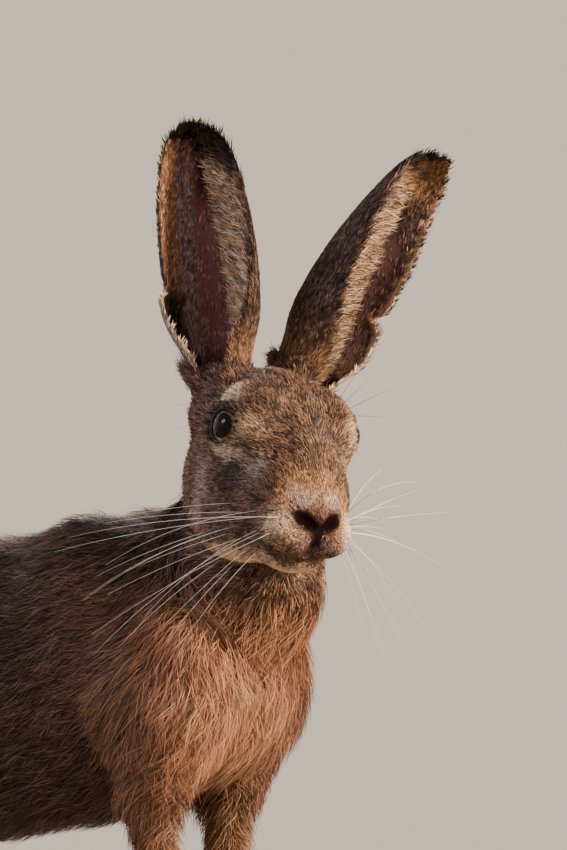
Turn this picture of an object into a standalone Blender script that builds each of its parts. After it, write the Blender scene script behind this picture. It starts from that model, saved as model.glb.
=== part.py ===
"""A brown hare at life size, standing alert with its head turned to its right.

Lengths in the tables are millimetres and the finished meshes are in metres.
x points to the hare's left, y to its tail and z up, and the floor is z = 0.
The flesh and coat are one blended field of simple forms, meshed and parted with thin cuts.
The ears are lofted sheets and the eyes and claws are pieces of their own.
"""

import math
import random

import bmesh
import bpy
import numpy as np
import openvdb
from mathutils import Euler, Matrix, Vector

MM = 0.001
GAP = 0.3

# The head's place is the point midway between the eyes, and its turn is pitch, roll and yaw in degrees.
HEAD_AT = (-33.0, -94.0, 289.0)
HEAD_TURN = (10.0, 5.0, -34.0)

EYE_AT = (23.5, 0.0, 0.0)
EYE_RADIUS = 9.6
LID_THICKNESS = 1.9
# How the eye looks out: towards the side, forwards and up.
EYE_LOOK = (0.93, -0.33, 0.14)
EYE_OPENING = (8.5, 6.7)

HEAD_VOXEL = 1.2
FOOT_VOXEL = 1.6
TAIL_VOXEL = 2.4
# The soles are pressed flat on the floor over this depth.
SOLE_DEPTH = 0.3
BODY_VOXEL = 3.5

# The middle of the whole hare in its own forms' frame, which becomes the origin.
MIDDLE = (0.0, 94.23, 0.0)

# Colours, and roughness, of each material.
COLOURS = {
    "face_coat": ((0.22, 0.14, 0.085), 0.85),
    "ear_coat": ((0.25, 0.17, 0.12), 0.85),
    "chest_coat": ((0.40, 0.20, 0.10), 0.9),
    "back_coat": ((0.16, 0.105, 0.07), 0.9),
    "leg_coat": ((0.36, 0.22, 0.12), 0.9),
    "tail_coat": ((0.60, 0.57, 0.52), 0.9),
    "eye": ((0.025, 0.013, 0.007), 0.08),
    "claw": ((0.06, 0.045, 0.035), 0.4),
}

# Trunk forms: centre, radii, pitch, and how far each blends into the rest.
TRUNK = [
    ((0, -26, 192), (44, 47, 55), 0, 26),
    ((0, 14, 185), (46, 50, 67), 0, 26),
    ((0, 70, 175), (51, 67, 68), -3, 30),
    ((0, 135, 173), (54, 68, 66), 4, 30),
    ((0, 192, 154), (53, 62, 62), 20, 34),
    ((0, 232, 122), (44, 42, 50), 28, 30),
]
NECK = [(0, -34, 214, 38), (-3, -56, 242, 29.5), (-10, -66, 268, 24)]
THROAT = ((-6, -66, 226), (30, 28, 34), 8, 16)
TAIL = [
    (0, 256, 126, 12),
    (0, 274, 124, 13.5),
    (0, 288, 114, 16),
    (0, 296, 100, 17.5),
    (0, 299, 84, 16),
    (0, 299, 70, 11.5),
    (0, 298, 60, 6),
]

# The shaggy coat of the chest and throat: a core under the coat's outline, and locks out to it.
SHAGGY = ((0, -46, 192), (84, 66, 78))
CORE_DEPTH = 4.0
# The middle of the chest and neck at rising heights: height, then x and y.
CHEST_LINE = [(135, 0, -10), (170, 0, -14), (200, 0, -22), (225, -1, -42), (250, -5, -60)]
LOCK_ROWS = np.linspace(244, 150, 5)
LOCK_SPREAD = 80
LOCK_LENGTH = 38.0
LOCK_WIDTH = 18.0
LOCK_SPACING = 22.0
# At each station of a lock: its height over the core, and its width and thickness as shares.
LOCK_STATIONS = [(-3.0, 0.6, 1.0), (3.4, 1.0, 1.0), (4.0, 0.0, 0.0)]
LOCK_THICKNESS = 4.0
# The tail's locks, as rings round its line: share of the way down it, and how many.
TAIL_RINGS = [(0.5, 5), (0.8, 5)]
TAIL_LOCK = (24.0, 11.0)

# The left side's limbs. A limb is a row of stations, each a centre and a radius.
SHOULDER_BLADE = ((27, 2, 214), (19, 34, 42), -18, 16)
SHOULDER_POINT = ((33, -34, 180), (20, 30, 34), 30, 18)
UPPER_ARM = [(34, -36, 168, 21), (31, -27, 130, 15)]
FORELEG = [
    (31, -27, 130, 14.5),
    (29, -31, 98, 11.2),
    (27.5, -39, 58, 8.8),
    (26.5, -46, 30, 9.6),
    (26, -55, 11, 11.5),
]
HAUNCH = ((39, 198, 116), (34, 62, 62), 28, 20)
KNEE = ((52, 148, 88), (24, 34, 34), 0, 22)
SHANK = [(53, 150, 84, 26), (53, 204, 58, 23), (51, 250, 32, 15.5)]
HIND_FOOT = [(50, 258, 15, 15.5), (52, 205, 12, 12.5), (54, 160, 12, 13), (54, 140, 12, 13.5)]

# Each toe's offset across the foot, how far forward it reaches and how high it sits.
FORE_TOES = [(-9.0, -66, -1.2), (-3.2, -71, -0.8), (3.2, -71, -0.8), (9.0, -66, -1.0)]
FORE_TOE_ROOT = (26, -54, 13, 6.4)
FORE_TOE_RADIUS = 5.2
HIND_TOES = [(-10.5, 118, -0.8), (-3.6, 110, -0.8), (3.6, 109, -0.8), (10.5, 116, -0.8)]
HIND_TOE_ROOT = (54, 140, 12, 8)
HIND_TOE_RADIUS = 6.4
CLAW_RADIUS = 1.7
CLAW_LENGTH = 7.0

# Head forms about the point between the eyes: centre, radii, pitch and blend.
CRANIUM = ((0, 15, 1), (25, 30, 23))
SKULL = [
    ((0, 2, -4), (20, 22, 22), 0, 12),
    ((0, -17, -15), (16.5, 21, 17), 50, 12),
    ((0, -32, -29), (14.5, 13.5, 11.5), 30, 9),
    ((0, -27, -46.5), (12.5, 12.5, 9), 8, 6),
    ((0, -4, -42), (16, 27, 14), 4, 12),
]
PAIRED = [
    ((14, 12, -26), (16, 28, 27), 0, 12),
    ((19, 1, -1), (11.5, 19, 14.5), 0, 8),
    ((11.5, -14.5, -24), (13, 21, 16.5), 35, 10),
    ((9.8, -32.5, -37), (12, 13, 11.5), 20, 5),
    ((15, 2, -42), (15, 22, 14.5), 0, 8),
    ((15, 0, 11.5), (9.5, 14, 7), 0, 8),
]
NOSTRIL = [(13.5, -41, -24, 1.3), (8, -44, -28.5, 2.8), (2.0, -45.5, -32.5, 2.0)]
CLEFT = [(0, -46, -33, 1.8), (0, -44.5, -39, 1.8), (0, -42, -45.5, 2.6)]
MOUTH = [(0, -41, -47.5, 2.6), (8, -38.5, -48.5, 2.0), (14.5, -29, -48, 1.6), (21.5, -17, -46, 1.0)]
EAR_BASE = [(16, 28, 2, 14), (18, 33, 11, 12)]
NAPE = [(0, 26, -8, 22), (2, 38, -26, 23)]

# Ears: where each springs from and ends about the head's point, how far its middle bows,
# the way its cup opens at root and tip in degrees from straight ahead to the side, and its breadth.
EARS = {
    "ear_left": dict(root=(17, 33, 12), tip=(83, 47, 114), bow=(-1, 1, 1), opens=(36, 24), breadth=1.05),
    "ear_right": dict(root=(-17, 32, 10), tip=(-32, 73, 117), bow=(2, 1, 1), opens=(-42, -32), breadth=1.0),
}
EAR_THICKNESS = 2.8
EAR_LENGTH_STEPS = 18
EAR_WIDTH_STEPS = 12
# Along each ear: share of its length, half the cup's width, and half the angle that it wraps.
EAR_SECTIONS = [
    (0.0, 11.5, 150),
    (0.12, 12.5, 145),
    (0.25, 18.0, 120),
    (0.4, 19.8, 104),
    (0.55, 20.0, 98),
    (0.7, 19.0, 86),
    (0.82, 17.0, 74),
    (0.9, 14.5, 66),
    (0.96, 11.0, 60),
    (1.0, 4.0, 56),
]


def clear_scene():
    for obj in list(bpy.data.objects):
        bpy.data.objects.remove(obj, do_unlink=True)


# Field forms. Each returns the distance of every point from a form's surface, negative inside.


def turned(points, centre, turn):
    rotation = np.array(Euler([math.radians(a) for a in turn]).to_matrix(), np.float32)
    return (points - np.array(centre, np.float32)) @ rotation


def ellipsoid(points, centre, radii, pitch=0):
    local = turned(points, centre, (pitch, 0, 0))
    radii = np.array(radii, np.float32)
    near = np.linalg.norm(local / radii, axis=1)
    slope = np.linalg.norm(local / radii**2, axis=1) + 1e-6
    return near * (near - 1) / slope


def limb(points, stations):
    """A rounded, tapering limb through (x, y, z, radius) stations."""
    best = None
    for first, second in zip(stations, stations[1:]):
        start = np.array(first[:3], np.float32)
        along = np.array(second[:3], np.float32) - start
        share = np.clip((points - start) @ along / (along @ along), 0, 1)
        away = np.linalg.norm(points - start - share[:, None] * along, axis=1)
        found = away - (first[3] + share * (second[3] - first[3]))
        best = found if best is None else np.minimum(best, found)
    return best


def blend(first, second, reach):
    """The union of two forms, rounded where they meet."""
    h = np.clip(reach - np.abs(first - second), 0, None) / reach
    return np.minimum(first, second) - h * h * reach / 4


def carve(first, second, reach):
    """The first form less the second, rounded where they meet."""
    return -blend(-first, second, reach)


def flipped(points):
    return points * np.array((-1, 1, 1), np.float32)


def toe_stations(root, toe, radius):
    across, reach, lift = toe
    start = (root[0] + 0.6 * across, root[1], root[2], root[3])
    return [start, (root[0] + across, reach, radius + lift, radius)]


def body_field(points):
    whole = None
    for centre, radii, pitch, reach in TRUNK:
        form = ellipsoid(points, centre, radii, pitch)
        whole = form if whole is None else blend(whole, form, reach)
    whole = blend(whole, limb(points, NECK), 18)
    centre, radii, pitch, reach = THROAT
    whole = blend(whole, ellipsoid(points, centre, radii, pitch), reach)
    whole = blend(whole, limb(points, TAIL), 10)
    for side in (points, flipped(points)):
        for centre, radii, pitch, reach in (SHOULDER_BLADE, SHOULDER_POINT, HAUNCH, KNEE):
            whole = blend(whole, ellipsoid(side, centre, radii, pitch), reach)
        whole = blend(whole, limb(side, UPPER_ARM), 16)
        whole = blend(whole, limb(side, FORELEG), 8)
        whole = blend(whole, limb(side, SHANK), 12)
        whole = blend(whole, limb(side, HIND_FOOT), 6)
        for toe in FORE_TOES:
            whole = blend(whole, limb(side, toe_stations(FORE_TOE_ROOT, toe, FORE_TOE_RADIUS)), 2.5)
        for toe in HIND_TOES:
            whole = blend(whole, limb(side, toe_stations(HIND_TOE_ROOT, toe, HIND_TOE_RADIUS)), 2.5)
    return whole


def head_matrix():
    pitch, roll, yaw = (math.radians(a) for a in HEAD_TURN)
    turn = Matrix.Rotation(yaw, 4, "Z") @ Matrix.Rotation(pitch, 4, "X") @ Matrix.Rotation(roll, 4, "Y")
    return Matrix.Translation(HEAD_AT) @ turn


def head_local(points):
    inverse = np.array(head_matrix().inverted(), np.float32)
    return points @ inverse[:3, :3].T + inverse[:3, 3]


def eye_opening(local, side):
    """The distance from the almond-shaped shaft that the lids leave open."""
    look = Vector((side * EYE_LOOK[0], EYE_LOOK[1], EYE_LOOK[2])).normalized()
    forward = Vector((0, -1, 0))
    long_axis = (forward - look * forward.dot(look)).normalized()
    high_axis = look.cross(long_axis)
    from_eye = local - np.array((side * EYE_AT[0], EYE_AT[1], EYE_AT[2]), np.float32)
    along = from_eye @ np.array(long_axis, np.float32) / EYE_OPENING[0]
    high = from_eye @ np.array(high_axis, np.float32) / EYE_OPENING[1]
    out = from_eye @ np.array(look, np.float32)
    shaft = (np.sqrt(along**2 + high**2) - 1) * EYE_OPENING[1]
    return np.maximum(shaft, -out)


def head_field(points):
    local = head_local(points)
    whole = ellipsoid(local, *CRANIUM)
    for centre, radii, pitch, reach in SKULL:
        whole = blend(whole, ellipsoid(local, centre, radii, pitch), reach)
    for side in (local, flipped(local)):
        for centre, radii, pitch, reach in PAIRED:
            whole = blend(whole, ellipsoid(side, centre, radii, pitch), reach)
        whole = blend(whole, limb(side, EAR_BASE), 10)
    for sign, side in ((1, local), (-1, flipped(local))):
        lids = np.linalg.norm(side - np.array(EYE_AT, np.float32), axis=1) - EYE_RADIUS - LID_THICKNESS
        whole = blend(whole, lids, 3.5)
        whole = carve(whole, eye_opening(local, sign), 1.2)
        whole = carve(whole, limb(side, NOSTRIL), 1.2)
        whole = carve(whole, limb(side, MOUTH), 1.0)
    return carve(whole, limb(local, CLEFT), 1.2)


def core_field(points):
    """The body, with the chest drawn in from the coat's outline to its core."""
    centre, radii = (np.array(v, np.float32) for v in SHAGGY)
    inward = 1 - np.linalg.norm((points - centre) / radii, axis=1)
    return body_field(points) + CORE_DEPTH * np.clip(3 * inward, 0, 1)


def hare_field(points):
    whole = blend(core_field(points), limb(head_local(points), NAPE), 12)
    whole = blend(whole, head_field(points), 8)
    return np.maximum(whole, -points[:, 2])


# From field to mesh.


def link(name, mesh, collection):
    obj = bpy.data.objects.new(name, mesh)
    bpy.data.collections[collection].objects.link(obj)
    return obj


def mesh_of(name, low, high, voxel, triangles):
    """Meshes the hare's field between two corners, and thins it to about that many triangles."""
    axes = [np.arange(a, b + voxel, voxel, dtype=np.float32) for a, b in zip(low, high)]
    grid_points = np.stack(np.meshgrid(*axes, indexing="ij"), -1).reshape(-1, 3)
    values = hare_field(grid_points).reshape([len(a) for a in axes])
    far = 3 * voxel
    values = np.clip(values, -far, far)
    values[[0, -1]] = far
    values[:, [0, -1]] = far
    values[:, :, [0, -1]] = far
    grid = openvdb.FloatGrid(far)
    grid.copyFromArray(values.astype(np.float32))
    points, _, quads = grid.convertToPolygons(0.0, 0.0)
    points = points * voxel + np.array(low)
    mesh = bpy.data.meshes.new(name)
    mesh.from_pydata((points * MM).tolist(), [], quads[:, ::-1].tolist())
    obj = link(name, mesh, "brown_hare")
    thin = obj.modifiers.new("thin", "DECIMATE")
    thin.ratio = min(1.0, triangles / (2 * len(quads)))
    apply_modifiers(obj)
    for vert in obj.data.vertices:
        if vert.co.z < SOLE_DEPTH * MM:
            vert.co.z = 0
    return obj


def apply_modifiers(obj):
    graph = bpy.context.evaluated_depsgraph_get()
    mesh = bpy.data.meshes.new_from_object(obj.evaluated_get(graph))
    obj.modifiers.clear()
    obj.data = mesh


def cut(obj, cutter, operation):
    step = obj.modifiers.new("cut", "BOOLEAN")
    step.operation = operation
    step.object = cutter
    step.solver = "EXACT"
    apply_modifiers(obj)
    keep_largest(obj)


def keep_largest(obj):
    """Drops every closed surface of the mesh but the largest one."""
    bm = bmesh.new()
    bm.from_mesh(obj.data)
    unseen = set(bm.verts)
    shells = []
    while unseen:
        front = [unseen.pop()]
        shell = set(front)
        while front:
            for edge in front.pop().link_edges:
                for vert in edge.verts:
                    if vert in unseen:
                        unseen.remove(vert)
                        shell.add(vert)
                        front.append(vert)
        shells.append(shell)
    shells.sort(key=len)
    for shell in shells[:-1]:
        bmesh.ops.delete(bm, geom=list(shell), context="VERTS")
    bm.to_mesh(obj.data)
    bm.free()


def block(name, low, high, matrix=None, grown=0.0):
    """A cutting box between two corners of the given frame, grown on every side."""
    mesh = bpy.data.meshes.new(name)
    bm = bmesh.new()
    bmesh.ops.create_cube(bm, size=1.0)
    sides = Vector(high) - Vector(low) + Vector((2 * grown,) * 3)
    middle = (Vector(high) + Vector(low)) / 2
    place = (matrix or Matrix()) @ Matrix.Translation(middle) @ Matrix.Diagonal((*sides, 1))
    bmesh.ops.transform(bm, matrix=Matrix.Scale(MM, 4) @ place, verts=bm.verts)
    bm.to_mesh(mesh)
    bm.free()
    obj = link(name, mesh, "cutters")
    obj.display_type = "WIRE"
    obj.hide_render = True
    return obj


# The locks of the chest and tail.


def field_at(point):
    return float(core_field(np.array([point], np.float32))[0])


def way_out(point):
    """The direction straight out of the coat at a point."""
    steps = np.concatenate([np.eye(3), -np.eye(3)]).astype(np.float32)
    values = core_field(np.array(point, np.float32) + steps)
    return Vector((values[:3] - values[3:]).tolist()).normalized()


def surface_from(start, direction):
    """The first point of the surface on the way from a point inside the body."""
    reach = np.arange(0, 110, 1, dtype=np.float32)
    along = np.array(start, np.float32) + reach[:, None] * np.array(direction, np.float32)
    first = int(np.argmax(core_field(along) > 0))
    return Vector(start) + Vector(direction) * float(reach[first])


def add_lock(root, heading, length, width):
    """A flat, tapered lock laid along the coat, its root sunk into the core."""
    step = length / (len(LOCK_STATIONS) - 1)
    point = Vector(root)
    bm = bmesh.new()
    rings = []
    for height, wide, thick in LOCK_STATIONS:
        out = way_out(point)
        point = point - out * field_at(point)
        along = (heading - out * heading.dot(out)).normalized()
        middle = point + out * height
        across = along.cross(out) * (wide * width / 2)
        depth = out * (thick * LOCK_THICKNESS / 2)
        if wide:
            rings.append([bm.verts.new((middle + v) * MM) for v in (across, depth, -across, -depth)])
        else:
            rings.append([bm.verts.new(middle * MM)] * 4)
        point = point + along * step
    bm.faces.new(rings[0])
    for ring, following in zip(rings, rings[1:]):
        for k in range(4):
            a, b, c, d = ring[k], ring[k - 1], following[k - 1], following[k]
            bm.faces.new((a, b, c) if c is d else (a, b, c, d))
    bmesh.ops.recalc_face_normals(bm, faces=bm.faces)
    mesh = bpy.data.meshes.new("lock")
    bm.to_mesh(mesh)
    bm.free()
    return link("lock", mesh, "locks")


def add_chest_locks():
    """Rows of locks down the throat and chest, each row set between those of the row above."""
    draw = random.Random(5)
    columns = list(zip(*CHEST_LINE))
    for row, height in enumerate(LOCK_ROWS):
        middle = Vector([float(np.interp(height, columns[0], columns[k])) for k in (1, 2)] + [height])
        front = surface_from(middle, Vector((0, -1, 0)))
        reach = (front - middle).length
        count = max(3, round(math.radians(2 * LOCK_SPREAD) * reach / LOCK_SPACING))
        for k in range(count + row % 2):
            share = (k + 0.5 - 0.5 * (row % 2)) / count
            turn = math.radians((2 * share - 1) * LOCK_SPREAD + draw.uniform(-4, 4))
            outward = Vector((math.sin(turn), -math.cos(turn), 0))
            root = surface_from(middle + Vector((0, 0, draw.uniform(-4, 4))), outward)
            heading = Vector((draw.uniform(-0.2, 0.2), 0.25 + draw.uniform(-0.1, 0.1), -1))
            length = LOCK_LENGTH * draw.uniform(0.85, 1.1)
            add_lock(root, heading, length, LOCK_WIDTH * draw.uniform(0.85, 1.15))


def add_tail_locks():
    """Rings of locks round the tail, each ring set between those of the ring above."""
    draw = random.Random(8)
    for row, (share, count) in enumerate(TAIL_RINGS):
        place = share * (len(TAIL) - 1)
        first = Vector(TAIL[int(place)][:3])
        second = Vector(TAIL[int(place) + 1][:3])
        along = (second - first).normalized()
        middle = first.lerp(second, place - int(place))
        side = along.orthogonal().normalized()
        for k in range(count):
            turn = Matrix.Rotation(2 * math.pi * (k + 0.5 * row) / count + draw.uniform(-0.2, 0.2), 3, along)
            root = surface_from(middle, turn @ side)
            length, width = TAIL_LOCK
            add_lock(root, along, length * draw.uniform(0.85, 1.1), width)


def fuse_locks(obj):
    """Joins the locks to the piece that they grow from, and removes their own objects."""
    step = obj.modifiers.new("locks", "BOOLEAN")
    step.operation = "UNION"
    step.operand_type = "COLLECTION"
    step.collection = bpy.data.collections["locks"]
    step.solver = "EXACT"
    apply_modifiers(obj)
    keep_largest(obj)
    for lock in list(bpy.data.collections["locks"].objects):
        bpy.data.objects.remove(lock, do_unlink=True)


def copy_of(obj, name):
    return link(name, obj.data.copy(), "brown_hare")


def part_off(trunk, name, low, high, matrix=None):
    """Takes what lies in a box off the trunk as a piece of its own, with the gap between them."""
    piece = copy_of(trunk, name)
    cut(piece, block(name + "_inner", low, high, matrix), "INTERSECT")
    cut(trunk, block(name + "_outer", low, high, matrix, GAP), "DIFFERENCE")
    return piece


# The seams. Each is a frame, in millimetres, and the two corners of a box in that frame.


def mirrored_box(low, high, side):
    if side > 0:
        return low, high
    return (-high[0], low[1], low[2]), (-low[0], high[1], high[2])


def head_box():
    """In front of a slanting face behind the jaw and the skull."""
    frame = head_matrix() @ Matrix.Translation((0, 5, -58)) @ Matrix.Rotation(math.radians(-35), 4, "X")
    return (-60, -130, -22), (60, 0, 120), frame


def neck_box():
    """Above a face square to the neck."""
    axis = Vector((-0.14, -0.62, 0.77)).normalized()
    frame = Matrix.Translation((0, -45, 228)) @ axis.to_track_quat("Z", "Y").to_matrix().to_4x4()
    return (-80, -90, 0), (80, 90, 120), frame


def haunch_box(side):
    """Outside a face that leans out over the thigh."""
    outward = Vector((side * 0.93, -0.05, -0.36)).normalized()
    frame = Matrix.Translation((side * 38, 190, 110)) @ outward.to_track_quat("X", "Z").to_matrix().to_4x4()
    return (0, -100, -120), (70, 110, 100), frame


FOREARM_BOX = ((4, -110, -10), (70, 20, 122))
FOREPAW_BOX = ((4, -110, -10), (70, 20, 40))
HIND_FOOT_BOX = ((16, 90, -10), (90, 300, 30))
TAIL_BOX = ((-30, 271, 30), (30, 345, 150))


CHEST_BOX = ((-100, -160, 40), (100, 44, 280))
RUMP_BOX = ((-100, 138, -10), (100, 300, 250))


def add_trunk_pieces():
    trunk = mesh_of("torso", (-100, -150, -8), (100, 340, 345), BODY_VOXEL, 5000)
    add_chest_locks()
    fuse_locks(trunk)
    low, high, frame = head_box()
    cut(trunk, block("head_outer", low, high, frame, GAP), "DIFFERENCE")
    for side, word in ((1, "left"), (-1, "right")):
        cut(trunk, block("paw_cut_" + word, *mirrored_box(*FOREPAW_BOX, side), None, GAP), "DIFFERENCE")
        cut(trunk, block("foot_cut_" + word, *mirrored_box(*HIND_FOOT_BOX, side), None, GAP), "DIFFERENCE")
        part_off(trunk, "forearm_" + word, *mirrored_box(*FOREARM_BOX, side))
        part_off(trunk, "haunch_" + word, *haunch_box(side))
    cut(trunk, block("tail_outer", *TAIL_BOX, None, GAP), "DIFFERENCE")
    part_off(trunk, "neck", *neck_box())
    part_off(trunk, "chest", *CHEST_BOX)
    part_off(trunk, "rump", *RUMP_BOX)


def add_tail():
    low, high = TAIL_BOX
    tail = mesh_of("tail", (-34, 264, 40), (34, 330, 150), TAIL_VOXEL, 480)
    add_tail_locks()
    fuse_locks(tail)
    cut(tail, block("tail_inner", low, high), "INTERSECT")


def add_feet():
    for side, word in ((1, "left"), (-1, "right")):
        for name, box, triangles in (
            ("forepaw_", FOREPAW_BOX, 500),
            ("hind_foot_", HIND_FOOT_BOX, 640),
        ):
            low, high = mirrored_box(*box, side)
            margin = 3 * FOOT_VOXEL
            foot = mesh_of(
                name + word,
                [v - margin for v in low[:2]] + [low[2]],
                [v + margin for v in high],
                FOOT_VOXEL,
                triangles,
            )
            cut(foot, block(name + word + "_inner", low, high), "INTERSECT")


def add_head():
    head = mesh_of("head", (-130, -175, 205), (70, -15, 350), HEAD_VOXEL, 4400)
    low, high, frame = head_box()
    cut(head, block("head_inner", low, high, frame), "INTERSECT")
    for side, word in ((1, "left"), (-1, "right")):
        centre = head_matrix() @ Vector((side * EYE_AT[0], EYE_AT[1], EYE_AT[2]))
        socket = ball("socket_" + word, centre, EYE_RADIUS + GAP, "cutters")
        cut(head, socket, "DIFFERENCE")
        ball("eye_" + word, centre, EYE_RADIUS, "brown_hare")


def ball(name, centre, radius, collection):
    mesh = bpy.data.meshes.new(name)
    bm = bmesh.new()
    bmesh.ops.create_uvsphere(bm, u_segments=16, v_segments=10, radius=radius * MM)
    bmesh.ops.translate(bm, vec=Vector(centre) * MM, verts=bm.verts)
    bm.to_mesh(mesh)
    bm.free()
    mesh.shade_smooth()
    obj = link(name, mesh, collection)
    if collection == "cutters":
        obj.display_type = "WIRE"
        obj.hide_render = True
    return obj


# The ears.


def between(rows, share):
    """Reads a table at a share of its length, averaged over a short way so that no row shows."""
    around = share + np.linspace(-1, 1, 7) * min(0.05, 0.3 * (1 - share))
    columns = list(zip(*rows))
    return [float(np.interp(around, columns[0], column).mean()) for column in columns[1:]]


def ear_spine(ear, share):
    """A point on the ear's middle line and its direction there, about the head's point."""
    root, tip = Vector(ear["root"]), Vector(ear["tip"])
    control = (root + tip) / 2 + 2 * Vector(ear["bow"])
    point = (1 - share) ** 2 * root + 2 * share * (1 - share) * control + share**2 * tip
    along = 2 * (1 - share) * (control - root) + 2 * share * (tip - control)
    return point, along.normalized()


def ear_frame(ear, share):
    """The ear's middle there, the way its cup opens and the way across it."""
    point, along = ear_spine(ear, share)
    turn = math.radians(ear["opens"][0] + share * (ear["opens"][1] - ear["opens"][0]))
    opens = Vector((math.sin(turn), -math.cos(turn), 0))
    opens = (opens - along * opens.dot(along)).normalized()
    return point, opens, along.cross(opens)


def ear_point(ear, share, across, outward):
    """A point of the ear's sheet: across runs from -1 to 1, and outward is out of its back."""
    point, opens, sideways = ear_frame(ear, share)
    half_width, wrap = between(EAR_SECTIONS, share)
    wrap = math.radians(wrap)
    radius = ear["breadth"] * half_width / math.sin(min(wrap, math.pi / 2))
    angle = across * wrap
    reach = radius + outward
    return point - opens * (reach * math.cos(angle)) + sideways * (reach * math.sin(angle))


def ear_mesh(name, ear, thickness):
    """A closed, curved sheet whose two faces are split alike, so that they never cross."""
    rows = EAR_LENGTH_STEPS + 1
    columns = EAR_WIDTH_STEPS + 1
    bm = bmesh.new()
    faces = {}
    for i in range(rows):
        share = 1 - (1 - i / EAR_LENGTH_STEPS) ** 1.4
        for j in range(columns):
            across = 2 * j / EAR_WIDTH_STEPS - 1
            thin = 1 - 0.45 * abs(across) ** 4 - 0.25 * share**4
            for face in (1, -1):
                place = ear_point(ear, share, across, face * thickness / 2 * thin)
                faces[face, i, j] = bm.verts.new((head_matrix() @ place) * MM)
    for i in range(rows - 1):
        for j in range(columns - 1):
            for face in (1, -1):
                a, b = faces[face, i, j], faces[face, i, j + 1]
                c, d = faces[face, i + 1, j + 1], faces[face, i + 1, j]
                for corners in ((a, b, c), (a, c, d)):
                    bm.faces.new(corners if face > 0 else corners[::-1])
    rim = [(i, 0) for i in range(rows)] + [(rows - 1, j) for j in range(1, columns)]
    rim += [(i, columns - 1) for i in range(rows - 2, -1, -1)] + [(0, j) for j in range(columns - 2, 0, -1)]
    for here, there in zip(rim, rim[1:] + rim[:1]):
        a, b = faces[(1, *here)], faces[(1, *there)]
        c, d = faces[(-1, *there)], faces[(-1, *here)]
        bm.faces.new((a, b, c))
        bm.faces.new((a, c, d))
    bmesh.ops.recalc_face_normals(bm, faces=bm.faces)
    mesh = bpy.data.meshes.new(name)
    bm.to_mesh(mesh)
    bm.free()
    return mesh


def grown_copy(obj, name, by):
    """A cutter of the same shape a little larger, so that what it cuts keeps clear of the shape."""
    mesh = obj.data.copy()
    for vert, normal in zip(mesh.vertices, [n.vector.copy() for n in mesh.vertex_normals]):
        vert.co += normal * by * MM
    cutter = link(name, mesh, "cutters")
    cutter.display_type = "WIRE"
    cutter.hide_render = True
    return cutter


def add_ears():
    cutter = grown_copy(bpy.data.objects["head"], "head_grown", GAP + 0.1)
    for name, ear in EARS.items():
        obj = link(name, ear_mesh(name, ear, EAR_THICKNESS), "brown_hare")
        cut(obj, cutter, "DIFFERENCE")


# The claws.


def tapered_tube(name, stations):
    """A bent, tapering tube through (x, y, z, radius) stations, as a closed mesh."""
    curve = bpy.data.curves.new(name, "CURVE")
    curve.dimensions = "3D"
    curve.bevel_depth = MM
    curve.bevel_resolution = 0
    curve.use_fill_caps = True
    spline = curve.splines.new("POLY")
    spline.points.add(len(stations) - 1)
    for point, (x, y, z, radius) in zip(spline.points, stations):
        point.co = (x * MM, y * MM, z * MM, 1)
        point.radius = radius
    helper = bpy.data.objects.new(name + "_line", curve)
    bpy.context.scene.collection.objects.link(helper)
    graph = bpy.context.evaluated_depsgraph_get()
    mesh = bpy.data.meshes.new_from_object(helper.evaluated_get(graph))
    bpy.data.objects.remove(helper, do_unlink=True)
    bm = bmesh.new()
    bm.from_mesh(mesh)
    bmesh.ops.remove_doubles(bm, verts=bm.verts, dist=0.00001)
    bmesh.ops.recalc_face_normals(bm, faces=bm.faces)
    bm.to_mesh(mesh)
    bm.free()
    return mesh


def add_claws():
    feet = (
        ("forepaw_", "claw_fore_", FORE_TOES, FORE_TOE_ROOT, FORE_TOE_RADIUS),
        ("hind_foot_", "claw_hind_", HIND_TOES, HIND_TOE_ROOT, HIND_TOE_RADIUS),
    )
    for side, word in ((1, "left"), (-1, "right")):
        for foot, claw, toes, root, radius in feet:
            cutter = grown_copy(bpy.data.objects[foot + word], foot + word + "_grown", GAP + 0.1)
            for number, toe in enumerate(toes, 1):
                x, y, z, _ = toe_stations(root, toe, radius)[1]
                front = y - radius
                stations = [
                    (x, y, z + 1, CLAW_RADIUS),
                    (x, front, z, CLAW_RADIUS),
                    (x, front - 0.6 * CLAW_LENGTH, z - 1.4, 0.7 * CLAW_RADIUS),
                    (x, front - CLAW_LENGTH, z - 3.4, 0.25 * CLAW_RADIUS),
                ]
                name = f"{claw}{word}_{number}"
                mesh = tapered_tube(name, [(side * sx, sy, sz, r) for sx, sy, sz, r in stations])
                obj = link(name, mesh, "brown_hare")
                cut(obj, cutter, "DIFFERENCE")


# Materials and place.

COAT_OF = {
    "head": "face_coat",
    "ear": "ear_coat",
    "eye": "eye",
    "neck": "face_coat",
    "chest": "chest_coat",
    "torso": "back_coat",
    "rump": "back_coat",
    "forearm": "chest_coat",
    "forepaw": "leg_coat",
    "haunch": "back_coat",
    "hind": "leg_coat",
    "tail": "tail_coat",
    "claw": "claw",
}


def add_materials():
    for name, (colour, roughness) in COLOURS.items():
        material = bpy.data.materials.new(name)
        material.use_nodes = True
        surface = material.node_tree.nodes["Principled BSDF"]
        surface.inputs["Base Color"].default_value = (*colour, 1)
        surface.inputs["Roughness"].default_value = roughness
    for obj in bpy.data.collections["brown_hare"].objects:
        obj.data.materials.clear()
        obj.data.materials.append(bpy.data.materials[COAT_OF[obj.name.split("_")[0]]])
        obj.data.shade_smooth()


def set_on_origin():
    """Hangs every piece from one empty, with the middle of the hare over the origin."""
    hare = bpy.data.objects.new("hare", None)
    hare.location = -Vector(MIDDLE) * MM
    bpy.context.scene.collection.objects.link(hare)
    for collection in ("brown_hare", "cutters"):
        for obj in bpy.data.collections[collection].objects:
            obj.parent = hare


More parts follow.
